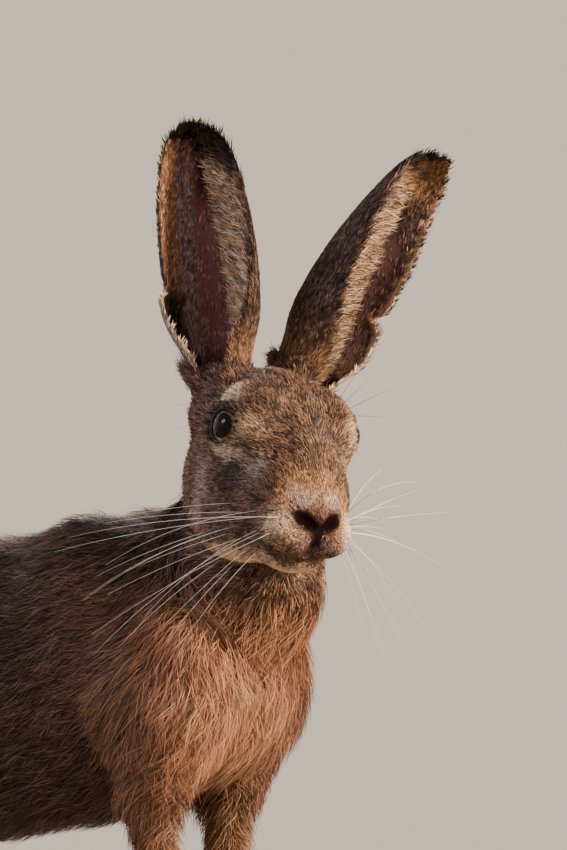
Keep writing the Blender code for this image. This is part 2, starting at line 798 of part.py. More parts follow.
def main():
    clear_scene()
    for name in ("brown_hare", "cutters", "locks"):
        bpy.context.scene.collection.children.link(bpy.data.collections.new(name))
    add_head()
    add_trunk_pieces()
    add_tail()
    add_feet()
    add_ears()
    add_claws()
    add_materials()
    set_on_origin()


if __name__ == "__main__":
    main()
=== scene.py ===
import math

import bmesh
import bpy
import numpy as np
import openvdb
from mathutils import Euler, Matrix, Vector
from mathutils.kdtree import KDTree


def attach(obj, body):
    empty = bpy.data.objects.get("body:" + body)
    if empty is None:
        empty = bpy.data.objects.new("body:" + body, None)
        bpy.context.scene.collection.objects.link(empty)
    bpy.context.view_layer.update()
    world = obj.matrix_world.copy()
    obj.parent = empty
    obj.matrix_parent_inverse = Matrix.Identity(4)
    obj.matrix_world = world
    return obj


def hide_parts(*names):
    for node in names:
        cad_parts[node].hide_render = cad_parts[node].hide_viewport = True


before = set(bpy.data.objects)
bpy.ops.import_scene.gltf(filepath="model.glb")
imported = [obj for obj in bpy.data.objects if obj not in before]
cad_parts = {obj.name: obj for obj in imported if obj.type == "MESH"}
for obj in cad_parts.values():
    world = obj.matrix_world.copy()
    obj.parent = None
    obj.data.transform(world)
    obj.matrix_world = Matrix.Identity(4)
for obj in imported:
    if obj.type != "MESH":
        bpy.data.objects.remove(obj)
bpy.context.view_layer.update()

# The skin repeats the blended forms of the solids, in millimetres: x to the hare's left, y to its
# tail and z up. The solids give the coat's outline, and the skin lies under it by the coat's depth.

MM = 0.001
MIDDLE = (0.0, 94.23, 0.0)

HEAD_AT = (-33.0, -94.0, 289.0)
HEAD_TURN = (10.0, 5.0, -34.0)

EYE_AT = (23.5, 0.0, 0.0)
EYE_RADIUS = 9.6
LID_THICKNESS = 1.9
EYE_LOOK = (0.93, -0.33, 0.14)
EYE_OPENING = (8.5, 6.7)

TRUNK = [
    ((0, -26, 192), (44, 47, 55), 0, 26),
    ((0, 14, 185), (46, 50, 67), 0, 26),
    ((0, 70, 175), (51, 67, 68), -3, 30),
    ((0, 135, 173), (54, 68, 66), 4, 30),
    ((0, 192, 154), (53, 62, 62), 20, 34),
    ((0, 232, 122), (44, 42, 50), 28, 30),
]
NECK = [(0, -34, 214, 38), (-3, -56, 242, 29.5), (-10, -66, 268, 24)]
THROAT = ((-6, -66, 226), (30, 28, 34), 8, 16)
TAIL = [
    (0, 256, 126, 12),
    (0, 274, 124, 13.5),
    (0, 288, 114, 16),
    (0, 296, 100, 17.5),
    (0, 299, 84, 16),
    (0, 299, 70, 11.5),
    (0, 298, 60, 6),
]
SHOULDER_BLADE = ((27, 2, 214), (19, 34, 42), -18, 16)
SHOULDER_POINT = ((33, -34, 180), (20, 30, 34), 30, 18)
UPPER_ARM = [(34, -36, 168, 21), (31, -27, 130, 15)]
FORELEG = [
    (31, -27, 130, 14.5),
    (29, -31, 98, 11.2),
    (27.5, -39, 58, 8.8),
    (26.5, -46, 30, 9.6),
    (26, -55, 11, 11.5),
]
HAUNCH = ((39, 198, 116), (34, 62, 62), 28, 20)
KNEE = ((52, 148, 88), (24, 34, 34), 0, 22)
SHANK = [(53, 150, 84, 26), (53, 204, 58, 23), (51, 250, 32, 15.5)]
HIND_FOOT = [(50, 258, 15, 15.5), (52, 205, 12, 12.5), (54, 160, 12, 13), (54, 140, 12, 13.5)]
FORE_TOES = [(-9.0, -66, -1.2), (-3.2, -71, -0.8), (3.2, -71, -0.8), (9.0, -66, -1.0)]
FORE_TOE_ROOT = (26, -54, 13, 6.4)
FORE_TOE_RADIUS = 5.2
HIND_TOES = [(-10.5, 118, -0.8), (-3.6, 110, -0.8), (3.6, 109, -0.8), (10.5, 116, -0.8)]
HIND_TOE_ROOT = (54, 140, 12, 8)
HIND_TOE_RADIUS = 6.4

CRANIUM = ((0, 15, 1), (25, 30, 23))
SKULL = [
    ((0, 2, -4), (20, 22, 22), 0, 12),
    ((0, -17, -15), (16.5, 21, 17), 50, 12),
    ((0, -32, -29), (14.5, 13.5, 11.5), 30, 9),
    ((0, -27, -46.5), (12.5, 12.5, 9), 8, 6),
    ((0, -4, -42), (16, 27, 14), 4, 12),
]
PAIRED = [
    ((14, 12, -26), (16, 28, 27), 0, 12),
    ((19, 1, -1), (11.5, 19, 14.5), 0, 8),
    ((11.5, -14.5, -24), (13, 21, 16.5), 35, 10),
    ((9.8, -32.5, -37), (12, 13, 11.5), 20, 5),
    ((15, 2, -42), (15, 22, 14.5), 0, 8),
    ((15, 0, 11.5), (9.5, 14, 7), 0, 8),
]
NOSTRIL = [(13.5, -41, -24, 1.3), (8, -44, -28.5, 2.8), (2.0, -45.5, -32.5, 2.0)]
CLEFT = [(0, -46, -33, 1.8), (0, -44.5, -39, 1.8), (0, -42, -45.5, 2.6)]
MOUTH = [(0, -41, -47.5, 2.6), (8, -38.5, -48.5, 2.0), (14.5, -29, -48, 1.6), (21.5, -17, -46, 1.0)]
EAR_BASE = [(16, 28, 2, 14), (18, 33, 11, 12)]
NAPE = [(0, 26, -8, 22), (2, 38, -26, 23)]

# Each ear's spine and opening, then its coat's colours and where their bands start across it.
EARS = {
    "ear_left": dict(
        root=(17, 33, 12), tip=(83, 47, 114), bow=(-1, 1, 1), opens=(36, 24), breadth=1.05, side=1,
        locks=(-0.64, -0.6, -0.47, -0.32, -0.12), cream=0.2, rim=-0.98, dark=0.94, edge=0.0,
        # The left ear's hollow and fine hair are painted darker than the right ear's, as painted shade in its
        # hollow.
        hollow=(0.10, 0.054, 0.048), fine=(0.115, 0.070, 0.060), band=(0.68, 0.44, 0.29),
    ),
    "ear_right": dict(
        root=(-17, 32, 10), tip=(-32, 73, 117), bow=(2, 1, 1), opens=(-42, -32), breadth=1.0, side=-1,
        locks=(0.14, 0.12, 0.12, 0.14, 0.2), cream=0.1, rim=-0.62, dark=0.85, edge=1.0,
        hollow=(0.26, 0.10, 0.092), fine=(0.27, 0.18, 0.17), band=(0.40, 0.20, 0.105),
    ),
}
EAR_SECTIONS = [
    (0.0, 11.5, 150),
    (0.12, 12.5, 145),
    (0.25, 18.0, 120),
    (0.4, 19.8, 104),
    (0.55, 20.0, 98),
    (0.7, 19.0, 86),
    (0.82, 17.0, 74),
    (0.9, 14.5, 66),
    (0.96, 11.0, 60),
    (1.0, 4.0, 56),
]
EAR_SKIN = 2.0
# The outer rim has a notch part way up, and turns out as a flap below it.
NOTCH_AT = 0.41
NOTCH_HIGH = 0.02
NOTCH_DEEP = 0.13
FLAP_OUT = 3.0

# The skin's grid is fine round the head and ears and coarse behind and below them.
FINE = 0.9
COARSE = 2.6
FINE_BOX = ((-97, -167, 205), (71, -18, 427))
WHOLE_BOX = ((-86, -167, -6), (86, 322, 427))
NEAR = 7.2


# Field forms. Each gives the distance of every point from a form's surface, negative inside.


def turned(points, centre, turn):
    rotation = np.array(Euler([math.radians(a) for a in turn]).to_matrix(), np.float32)
    return (points - np.array(centre, np.float32)) @ rotation


def ellipsoid(points, centre, radii, pitch=0):
    local = turned(points, centre, (pitch, 0, 0))
    radii = np.array(radii, np.float32)
    near = np.linalg.norm(local / radii, axis=1)
    slope = np.linalg.norm(local / radii**2, axis=1) + 1e-6
    return near * (near - 1) / slope


def limb(points, stations):
    """A rounded, tapering limb through (x, y, z, radius) stations."""
    best = None
    for first, second in zip(stations, stations[1:]):
        start = np.array(first[:3], np.float32)
        along = np.array(second[:3], np.float32) - start
        share = np.clip((points - start) @ along / (along @ along), 0, 1)
        away = np.linalg.norm(points - start - share[:, None] * along, axis=1)
        found = away - (first[3] + share * (second[3] - first[3]))
        best = found if best is None else np.minimum(best, found)
    return best


def blend(first, second, reach):
    h = np.clip(reach - np.abs(first - second), 0, None) / reach
    return np.minimum(first, second) - h * h * reach / 4


def carve(first, second, reach):
    return -blend(-first, second, reach)


def flipped(points):
    return points * np.array((-1, 1, 1), np.float32)


def smooth(values, low, high):
    """Rises smoothly from 0 at low to 1 at high, or falls where low is the larger."""
    share = np.clip((values - low) / (high - low), 0, 1)
    return share * share * (3 - 2 * share)


def near_spot(points, centre, radii):
    """1 at a spot's middle, falling smoothly to 0 at its edge."""
    away = np.linalg.norm((points - np.array(centre, np.float32)) / np.array(radii, np.float32), axis=1)
    return smooth(away, 1.0, 0.35)


def toe_stations(root, toe, radius):
    across, reach, lift = toe
    start = (root[0] + 0.6 * across, root[1], root[2], root[3])
    return [start, (root[0] + across, reach, radius + lift, radius)]


def body_field(points):
    whole = None
    for centre, radii, pitch, reach in TRUNK:
        form = ellipsoid(points, centre, radii, pitch)
        whole = form if whole is None else blend(whole, form, reach)
    whole = blend(whole, limb(points, NECK), 18)
    centre, radii, pitch, reach = THROAT
    whole = blend(whole, ellipsoid(points, centre, radii, pitch), reach)
    whole = blend(whole, limb(points, TAIL), 10)
    for side in (points, flipped(points)):
        for centre, radii, pitch, reach in (SHOULDER_BLADE, SHOULDER_POINT, HAUNCH, KNEE):
            whole = blend(whole, ellipsoid(side, centre, radii, pitch), reach)
        whole = blend(whole, limb(side, UPPER_ARM), 16)
        whole = blend(whole, limb(side, FORELEG), 8)
        whole = blend(whole, limb(side, SHANK), 12)
        whole = blend(whole, limb(side, HIND_FOOT), 6)
        for toe in FORE_TOES:
            whole = blend(whole, limb(side, toe_stations(FORE_TOE_ROOT, toe, FORE_TOE_RADIUS)), 2.5)
        for toe in HIND_TOES:
            whole = blend(whole, limb(side, toe_stations(HIND_TOE_ROOT, toe, HIND_TOE_RADIUS)), 2.5)
    return whole


def head_matrix():
    pitch, roll, yaw = (math.radians(a) for a in HEAD_TURN)
    turn = Matrix.Rotation(yaw, 4, "Z") @ Matrix.Rotation(pitch, 4, "X") @ Matrix.Rotation(roll, 4, "Y")
    return Matrix.Translation(HEAD_AT) @ turn


HEAD = np.array(head_matrix(), np.float32)
HEAD_BACK = np.array(head_matrix().inverted(), np.float32)


def head_local(points):
    return points @ HEAD_BACK[:3, :3].T + HEAD_BACK[:3, 3]


def from_head(points):
    return np.asarray(points, np.float32) @ HEAD[:3, :3].T + HEAD[:3, 3]


def eye_axes(side):
    look = Vector((side * EYE_LOOK[0], EYE_LOOK[1], EYE_LOOK[2])).normalized()
    forward = Vector((0, -1, 0))
    long_axis = (forward - look * forward.dot(look)).normalized()
    return look, long_axis, look.cross(long_axis)


def eye_opening(local, side, grown=0.0):
    """The distance from the almond-shaped shaft that the lids leave open."""
    look, long_axis, high_axis = (np.array(v, np.float32) for v in eye_axes(side))
    from_eye = local - np.array((side * EYE_AT[0], EYE_AT[1], EYE_AT[2]), np.float32)
    along = from_eye @ long_axis / (EYE_OPENING[0] + grown)
    high = from_eye @ high_axis / (EYE_OPENING[1] + grown)
    out = from_eye @ look
    shaft = (np.sqrt(along**2 + high**2) - 1) * EYE_OPENING[1]
    return np.maximum(shaft, -out)


def coat_depth(points, local):
    """How far the skin lies under the coat's outline."""
    depth = np.full(len(points), 8.5, np.float32)
    depth -= 6.3 * smooth(points[:, 2], 118, 84) * smooth(points[:, 1], 60, 20)
    rear = smooth(points[:, 1], 60, 110)
    depth -= 5.6 * smooth(points[:, 2], 84, 44) * rear
    away = np.linalg.norm(local - np.array((0, 0, -12), np.float32), axis=1)
    head = smooth(away, 78, 44)
    depth = depth * (1 - head) + 1.5 * head
    bare = np.clip(
        near_spot(local, (0, -44, -33), (15, 9, 16))
        + near_spot(np.abs(local) * (1, 0, 0) + local * (0, 1, 1), EYE_AT, (19, 19, 19)),
        0,
        1,
    )
    return depth * (1 - bare) + 0.8 * bare


def head_field(local):
    whole = ellipsoid(local, *CRANIUM)
    for centre, radii, pitch, reach in SKULL:
        whole = blend(whole, ellipsoid(local, centre, radii, pitch), reach)
    for side in (local, flipped(local)):
        for centre, radii, pitch, reach in PAIRED:
            whole = blend(whole, ellipsoid(side, centre, radii, pitch), reach)
        whole = blend(whole, limb(side, EAR_BASE), 10)
        lids = np.linalg.norm(side - np.array(EYE_AT, np.float32), axis=1) - EYE_RADIUS - LID_THICKNESS
        whole = blend(whole, lids, 3.5)
    return whole


def head_openings(whole, local):
    for sign, side in ((1, local), (-1, flipped(local))):
        whole = carve(whole, eye_opening(local, sign), 0.8)
        whole = carve(whole, limb(side, NOSTRIL), 1.0)
        whole = carve(whole, limb(side, MOUTH), 0.8)
    return carve(whole, limb(local, CLEFT), 1.0)


def skin_field(points):
    local = head_local(points)
    whole = blend(body_field(points), limb(local, NAPE), 12)
    whole = blend(whole, head_field(local), 8)
    whole = whole + coat_depth(points, local)
    whole = head_openings(whole, local)
    return np.maximum(whole, 0.4 - points[:, 2])


# The ears are curved sheets, read into the skin's grid as distances.


def between(rows, share):
    around = share + np.linspace(-1, 1, 7) * min(0.05, 0.3 * (1 - share))
    columns = list(zip(*rows))
    return [float(np.interp(around, columns[0], column).mean()) for column in columns[1:]]


def ear_spine(ear, share):
    root, tip = Vector(ear["root"]), Vector(ear["tip"])
    control = (root + tip) / 2 + 2 * Vector(ear["bow"])
    point = (1 - share) ** 2 * root + 2 * share * (1 - share) * control + share**2 * tip
    along = 2 * (1 - share) * (control - root) + 2 * share * (tip - control)
    return point, along.normalized()


def ear_frame(ear, share):
    point, along = ear_spine(ear, share)
    turn = math.radians(ear["opens"][0] + share * (ear["opens"][1] - ear["opens"][0]))
    opens = Vector((math.sin(turn), -math.cos(turn), 0))
    opens = (opens - along * opens.dot(along)).normalized()
    return point, opens, along.cross(opens)


def ear_row(ear, share, across, outward):
    """Points across the ear's sheet at a share of its length, about the head's point."""
    point, opens, sideways = (np.array(v) for v in ear_frame(ear, share))
    half_width, wrap = between(EAR_SECTIONS, share)
    wrap = math.radians(wrap)
    radius = ear["breadth"] * half_width / math.sin(min(wrap, math.pi / 2))
    across = np.asarray(across)
    rim = smooth(ear["side"] * across, 0.6, 1.0)
    notch = math.exp(-(((share - NOTCH_AT) / NOTCH_HIGH) ** 2))
    flap = float(smooth(np.float64(share), NOTCH_AT, 0.34) * smooth(np.float64(share), 0.04, 0.24))
    angle = across * wrap * (1 - NOTCH_DEEP * notch * rim)
    reach = radius + outward + FLAP_OUT * flap * rim
    return point - opens * (reach * np.cos(angle))[:, None] + sideways * (reach * np.sin(angle))[:, None]


EAR_ROWS = 72
EAR_COLUMNS = 44


def ear_shares():
    return 1 - (1 - np.linspace(0, 1, EAR_ROWS)) ** 1.4, np.linspace(-1, 1, EAR_COLUMNS)


def ear_sheet(ear):
    """The outer and inner face of the ear's skin as grids of points in the hare's frame."""
    shares, across = ear_shares()
    faces = []
    for face in (1, -1):
        rows = []
        for share in shares.tolist():
            thin = 1 - 0.4 * np.abs(across) ** 4 - 0.25 * share**4
            rows.append(ear_row(ear, share, across, face * EAR_SKIN / 2 * thin))
        faces.append(from_head(np.array(rows).reshape(-1, 3)).reshape(EAR_ROWS, EAR_COLUMNS, 3))
    return faces


def ear_ways(ear):
    """The way along the ear and the way towards its inner rim, at each point of its sheet."""
    shares, across = ear_shares()
    rows = []
    for share in shares.tolist():
        _, along = ear_spine(ear, share)
        _, opens, sideways = (np.array(v) for v in ear_frame(ear, share))
        angle = across * math.radians(between(EAR_SECTIONS, share)[1])
        toward = opens * np.sin(angle)[:, None] + sideways * np.cos(angle)[:, None]
        rows.append(np.concatenate([np.tile(along, (EAR_COLUMNS, 1)), -ear["side"] * toward], 1))
    turn = HEAD[:3, :3].T
    rows = np.concatenate(rows)
    return rows[:, :3] @ turn, rows[:, 3:] @ turn


def ear_distance(ear, axes):
    """The signed distance from one ear's skin over the fine part of the grid."""
    outer, inner = ear_sheet(ear)
    points = np.concatenate([outer.reshape(-1, 3), inner.reshape(-1, 3)])
    number = np.arange(EAR_ROWS * EAR_COLUMNS).reshape(EAR_ROWS, EAR_COLUMNS)
    a, b, c, d = number[:-1, :-1], number[:-1, 1:], number[1:, 1:], number[1:, :-1]
    back = np.stack([a, b, c, d], -1).reshape(-1, 4)
    front = back[:, ::-1] + number.size
    rim = np.concatenate([number[0], number[1:, -1], number[-1, -2::-1], number[-2:0:-1, 0]])
    following = np.roll(rim, -1)
    edge = np.stack([following, rim, rim + number.size, following + number.size], -1)
    quads = np.concatenate([back, front, edge]).astype(np.uint32)
    grid = openvdb.FloatGrid.createLevelSetFromPolygons(
        points.astype(np.float32),
        quads=quads,
        transform=openvdb.createLinearTransform(FINE),
        halfWidth=NEAR / FINE,
    )
    start = [int(round(float(axis[0]) / FINE)) for axis in axes]
    found = np.zeros([len(axis) for axis in axes], np.float32)
    grid.copyToArray(found, ijk=start)
    return found


# The skin's mesh.


def grid_axes():
    """Positions along each axis, and where the fine stretch starts and stops in each."""
    axes = []
    stretches = []
    for low, high, fine_low, fine_high in zip(*WHOLE_BOX, *FINE_BOX):
        fine = np.arange(round(fine_low / FINE), round(fine_high / FINE) + 1) * FINE
        before = fine[0] - COARSE * np.arange(math.ceil(max(0, fine[0] - low) / COARSE), 0, -1)
        after = fine[-1] + COARSE * np.arange(1, math.ceil(max(0, high - fine[-1]) / COARSE) + 1)
        axes.append(np.concatenate([before, fine, after]).astype(np.float32))
        stretches.append((len(before), len(before) + len(fine)))
    return axes, stretches


def near_surface(field, axes):
    """Evaluates a field on the grid, in full only near its surface, and clips it to a short reach."""
    step = 4
    cells = [math.ceil(len(axis) / step) for axis in axes]
    middles = []
    halves = []
    for axis in axes:
        pieces = [axis[i : i + step] for i in range(0, len(axis), step)]
        middles.append(np.array([(piece[0] + piece[-1]) / 2 for piece in pieces], np.float32))
        halves.append(np.array([(piece[-1] - piece[0]) / 2 for piece in pieces], np.float32))
    centres = np.stack(np.meshgrid(*middles, indexing="ij"), -1).reshape(-1, 3)
    sizes = np.stack(np.meshgrid(*halves, indexing="ij"), -1).reshape(-1, 3)
    coarse = np.concatenate([field(chunk) for chunk in np.array_split(centres, 8)])
    reach = 1.3 * np.linalg.norm(sizes, axis=1) + 1.5 * COARSE
    values = np.repeat(np.clip(coarse, -NEAR, NEAR).reshape(cells), step, 0)
    values = np.repeat(np.repeat(values, step, 1), step, 2)
    values = np.ascontiguousarray(values[: len(axes[0]), : len(axes[1]), : len(axes[2])])
    chosen = np.stack(np.unravel_index(np.nonzero(np.abs(coarse) < reach)[0], cells), -1)
    offsets = np.stack(np.meshgrid(*[np.arange(step)] * 3, indexing="ij"), -1).reshape(-1, 3)
    places = (chosen[:, None] * step + offsets).reshape(-1, 3)
    inside = np.all(places < [len(axis) for axis in axes], axis=1)
    places = places[inside]
    for part in np.array_split(places, max(1, len(places) // 400000)):
        points = np.stack([axis[part[:, k]] for k, axis in enumerate(axes)], -1)
        values[part[:, 0], part[:, 1], part[:, 2]] = np.clip(field(points), -NEAR, NEAR)
    return values


def skin_mesh():
    axes, stretches = grid_axes()
    values = near_surface(skin_field, axes)
    fine = tuple(slice(a, b) for a, b in stretches)
    fine_axes = [axis[s] for axis, s in zip(axes, fine)]
    for ear in EARS.values():
        values[fine] = blend(values[fine], ear_distance(ear, fine_axes), 5)
    grid = openvdb.FloatGrid(NEAR)
    grid.copyFromArray(values)
    points, _, quads = grid.convertToPolygons(0.0, 0.0)
    places = [np.interp(points[:, k], np.arange(len(axis)), axis) for k, axis in enumerate(axes)]
    return np.stack(places, -1).astype(np.float32), quads.astype(np.int32)


def to_frame(points):
    return ((np.asarray(points) - np.array(MIDDLE)) * MM).astype(np.float32)


def mesh_from(name, points, faces):
    """A mesh from points in millimetres and faces that all have as many corners."""
    mesh = bpy.data.meshes.new(name)
    corners = faces.shape[1]
    mesh.vertices.add(len(points))
    mesh.vertices.foreach_set("co", to_frame(points).ravel())
    mesh.loops.add(faces.size)
    mesh.loops.foreach_set("vertex_index", faces.astype(np.int32).ravel())
    mesh.polygons.add(len(faces))
    mesh.polygons.foreach_set("loop_start", np.arange(0, faces.size, corners, dtype=np.int32))
    mesh.update(calc_edges=True)
    mesh.shade_smooth()
    return mesh


def link(name, mesh):
    obj = bpy.data.objects.new(name, mesh)
    bpy.context.scene.collection.objects.link(obj)
    return obj


# Which part of the body a point belongs to.

PARTS = (
    "head", "ear_left", "ear_right", "trunk", "tail",
    "foreleg_left", "foreleg_right", "hindleg_left", "hindleg_right",
)


def ear_places(ear, points):
    """For each point: its share along the ear, from -1 to 1 towards the inner rim, its distance from the
    sheet, and the ways out of the ear's back, along it and towards its inner rim."""
    shares, across = ear_shares()
    outer, inner = ear_sheet(ear)
    middle = ((outer + inner) / 2).reshape(-1, 3)
    outward = (outer - inner).reshape(-1, 3)
    outward /= np.linalg.norm(outward, axis=1)[:, None]
    tree = KDTree(len(middle))
    for number, place in enumerate(middle):
        tree.insert(place, number)
    tree.balance()
    found = [tree.find(point) for point in points]
    index = np.array([number for _, number, _ in found])
    away = np.array([distance for _, _, distance in found])
    along, toward = ear_ways(ear)
    medial = -ear["side"] * across[index % EAR_COLUMNS]
    return shares[index // EAR_COLUMNS], medial, away, outward[index], along[index], toward[index]


def parts_of(points):
    """A number into PARTS for each point, and its place on whichever ear it belongs to."""
    x, y, z = points.T
    local = head_local(points)
    found = np.full(len(points), PARTS.index("trunk"))
    found[(z < 122) & (y < 20) & (x > 0)] = PARTS.index("foreleg_left")
    found[(z < 122) & (y < 20) & (x <= 0)] = PARTS.index("foreleg_right")
    hind = ((z < 108) | (np.abs(x) > 52)) & (np.abs(x) > 17) & (y > 84) & (z < 170)
    found[hind & (x > 0)] = PARTS.index("hindleg_left")
    found[hind & (x <= 0)] = PARTS.index("hindleg_right")
    found[y > 272] = PARTS.index("tail")
    head = np.linalg.norm((local - (0, -4, -16)) / (44, 54, 52), axis=1) < 1
    found[head | (local[:, 2] > 10) & (z > 260)] = PARTS.index("head")
    on_ear = {}
    for name, ear in EARS.items():
        maybe = np.nonzero((local[:, 2] > 12) & (ear["side"] * local[:, 0] > -2) & (local[:, 1] > 12))[0]
        share, medial, away, outward, _, _ = ear_places(ear, points[maybe])
        is_ear = (away < 1.9) & (share > 0.06)
        chosen = maybe[is_ear]
        found[chosen] = PARTS.index(name)
        on_ear[name] = (chosen, share[is_ear], medial[is_ear], outward[is_ear])
    return found, on_ear


# The lie of the coat, its length and height, and its markings.

BLACK = (0.0035, 0.0026, 0.0026)
UMBER = (0.026, 0.0155, 0.0135)
BROWN = (0.105, 0.054, 0.036)
TAN = (0.36, 0.185, 0.088)
RUFOUS = (0.40, 0.165, 0.078)
SALMON = (0.56, 0.27, 0.145)
GOLD = (0.36, 0.185, 0.080)
BUFF = (0.56, 0.37, 0.22)
CREAM = (0.74, 0.58, 0.42)
WHITE = (0.86, 0.80, 0.73)
GREY = (0.21, 0.175, 0.165)
SILVER = (0.34, 0.255, 0.22)
MAROON = (0.030, 0.008, 0.010)
PINK = (0.20, 0.075, 0.065)


def mixed(first, second, share):
    return first + (np.asarray(second, np.float32) - first) * np.asarray(share, np.float32)[:, None]


def plain(colour, count):
    return np.tile(np.array(colour, np.float32), (count, 1))


def waves(points, size, seed):
    """A smooth random pattern from 0 to 1 with features about as large as size."""
    draw = np.random.default_rng(seed)
    total = np.zeros(len(points), np.float32)
    for _ in range(6):
        way = draw.normal(size=3)
        way *= draw.uniform(0.7, 1.4) * 2 * math.pi / size / np.linalg.norm(way)
        total += np.sin(points @ way.astype(np.float32) + draw.uniform(0, 2 * math.pi))
    return np.clip(0.5 + total / 6, 0, 1)


def unit(vectors):
    return vectors / (np.linalg.norm(vectors, axis=1)[:, None] + 1e-9)


def mirrored(local):
    return np.stack([np.abs(local[:, 0]), local[:, 1], local[:, 2]], -1)


def head_share(points):
    """1 on the head, falling to 0 down the neck."""
    local = head_local(points)
    face = np.linalg.norm((local - (0, -8, -18)) / (46, 58, 52), axis=1)
    crown = np.linalg.norm(local - (0, 2, -12), axis=1)
    return np.maximum(smooth(face, 1.22, 0.98), smooth(crown, 66, 46))


def lie_of(points, normals):
    """The way that the coat lies, along the surface."""
    x, y, z = points.T
    flow = np.zeros_like(points)
    flow[:, 1] = 1.0
    flow[:, 2] = -0.35
    front = smooth(y, -5, -50) * smooth(z, 275, 245)
    flow = mixed(flow, (0, 0.12, -1), front)
    flow = mixed(flow, (0, 0.25, -1), smooth(z, 135, 100) * smooth(y, 40, 0))
    rear = smooth(y, 100, 150)
    flow = mixed(flow, (0, 0.55, -0.85), rear * smooth(z, 190, 140))
    flow = mixed(flow, (0, -1, -0.1), rear * smooth(z, 42, 26))
    flow = mixed(flow, (0, 0.25, -1), smooth(y, 262, 285))
    local = head_local(points)
    side = np.sign(local[:, 0]) * smooth(np.abs(local[:, 0]), 2, 18)
    head = np.stack([0.35 * side, np.ones(len(points)), 0.25 - 0.75 * smooth(local[:, 2], -10, -40)], -1)
    muzzle = smooth(local[:, 1], -20, -38)
    head = mixed(head, (0, 0.35, 1), muzzle * smooth(local[:, 2], -34, -20))
    head[:, 0] += 0.9 * side * muzzle * smooth(local[:, 2], -20, -34)
    head[:, 2] -= 0.5 * muzzle * smooth(local[:, 2], -34, -44)
    flow = mixed(flow, 0, head_share(points)) + (head @ HEAD[:3, :3].T) * head_share(points)[:, None]
    sway = np.stack([waves(points, 60, 3) - 0.5, waves(points, 60, 4) - 0.5, waves(points, 60, 5) - 0.5], -1)
    eddy = np.stack([waves(points, 17, 6) - 0.5, waves(points, 17, 7) - 0.5, waves(points, 17, 8) - 0.5], -1)
    flow = unit(flow) + 0.5 * sway + (0.8 * (1 - head_share(points)))[:, None] * eddy
    return unit(flow - normals * np.sum(flow * normals, axis=1)[:, None])


NOSE = (0, -44, -36)


def both_sides(local, stations):
    return np.minimum(limb(local, stations), limb(flipped(local), stations))


def openings(local):
    """The distance from the nostrils, the cleft and the mouth."""
    found = np.minimum(limb(local, CLEFT), both_sides(local, NOSTRIL))
    return np.minimum(found, both_sides(local, MOUTH) + 3 * smooth(np.abs(local[:, 0]), 5, 10))


def coat_size(points, local):
    """Each tuft's length, width, tip height over the skin, spread of its hairs' roots, and curl."""
    x, y, z = points.T
    front = smooth(y, 10, -45) * smooth(z, 120, 150)
    length = 16.0 + 6.5 * front
    legs = smooth(z, 125, 88) * smooth(y, 60, 20)
    rear = smooth(y, 60, 110) * smooth(z, 90, 45)
    low = np.clip(legs + rear, 0, 1)
    length = length * (1 - low) + 7.0 * low
    length += 8 * smooth(y, 262, 285)
    height = 0.45 * length * (1 - 0.3 * low)
    away = head_share(points)
    face = 4.2 + 3.4 * smooth(local[:, 1], -15, 25) + 3.5 * smooth(local[:, 1], 5, 40) * smooth(local[:, 2], 0, -30)
    face = face - 1.0 * smooth(local[:, 1], -28, -42)
    nose = near_spot(local, (0, -44, -41), (36, 26, 32))
    face = np.maximum(face * (1 - 0.6 * nose), 1.5)
    face = face * (1 - 0.4 * smooth(local[:, 2], -4, 8) * smooth(local[:, 1], 12, 28))
    length = length * (1 - away) + face * away
    height = height * (1 - away) + (0.3 - 0.08 * nose) * face * away
    width = (0.29 + 0.04 * low) * (1 - away) + (0.24 + 0.020 * face) * away
    spread = 0.2 * length * (1 - away) + 0.14 * length * away
    curl = 0.07 + 0.05 * front * (1 - away) - 0.02 * away
    return length, width, height, spread, curl


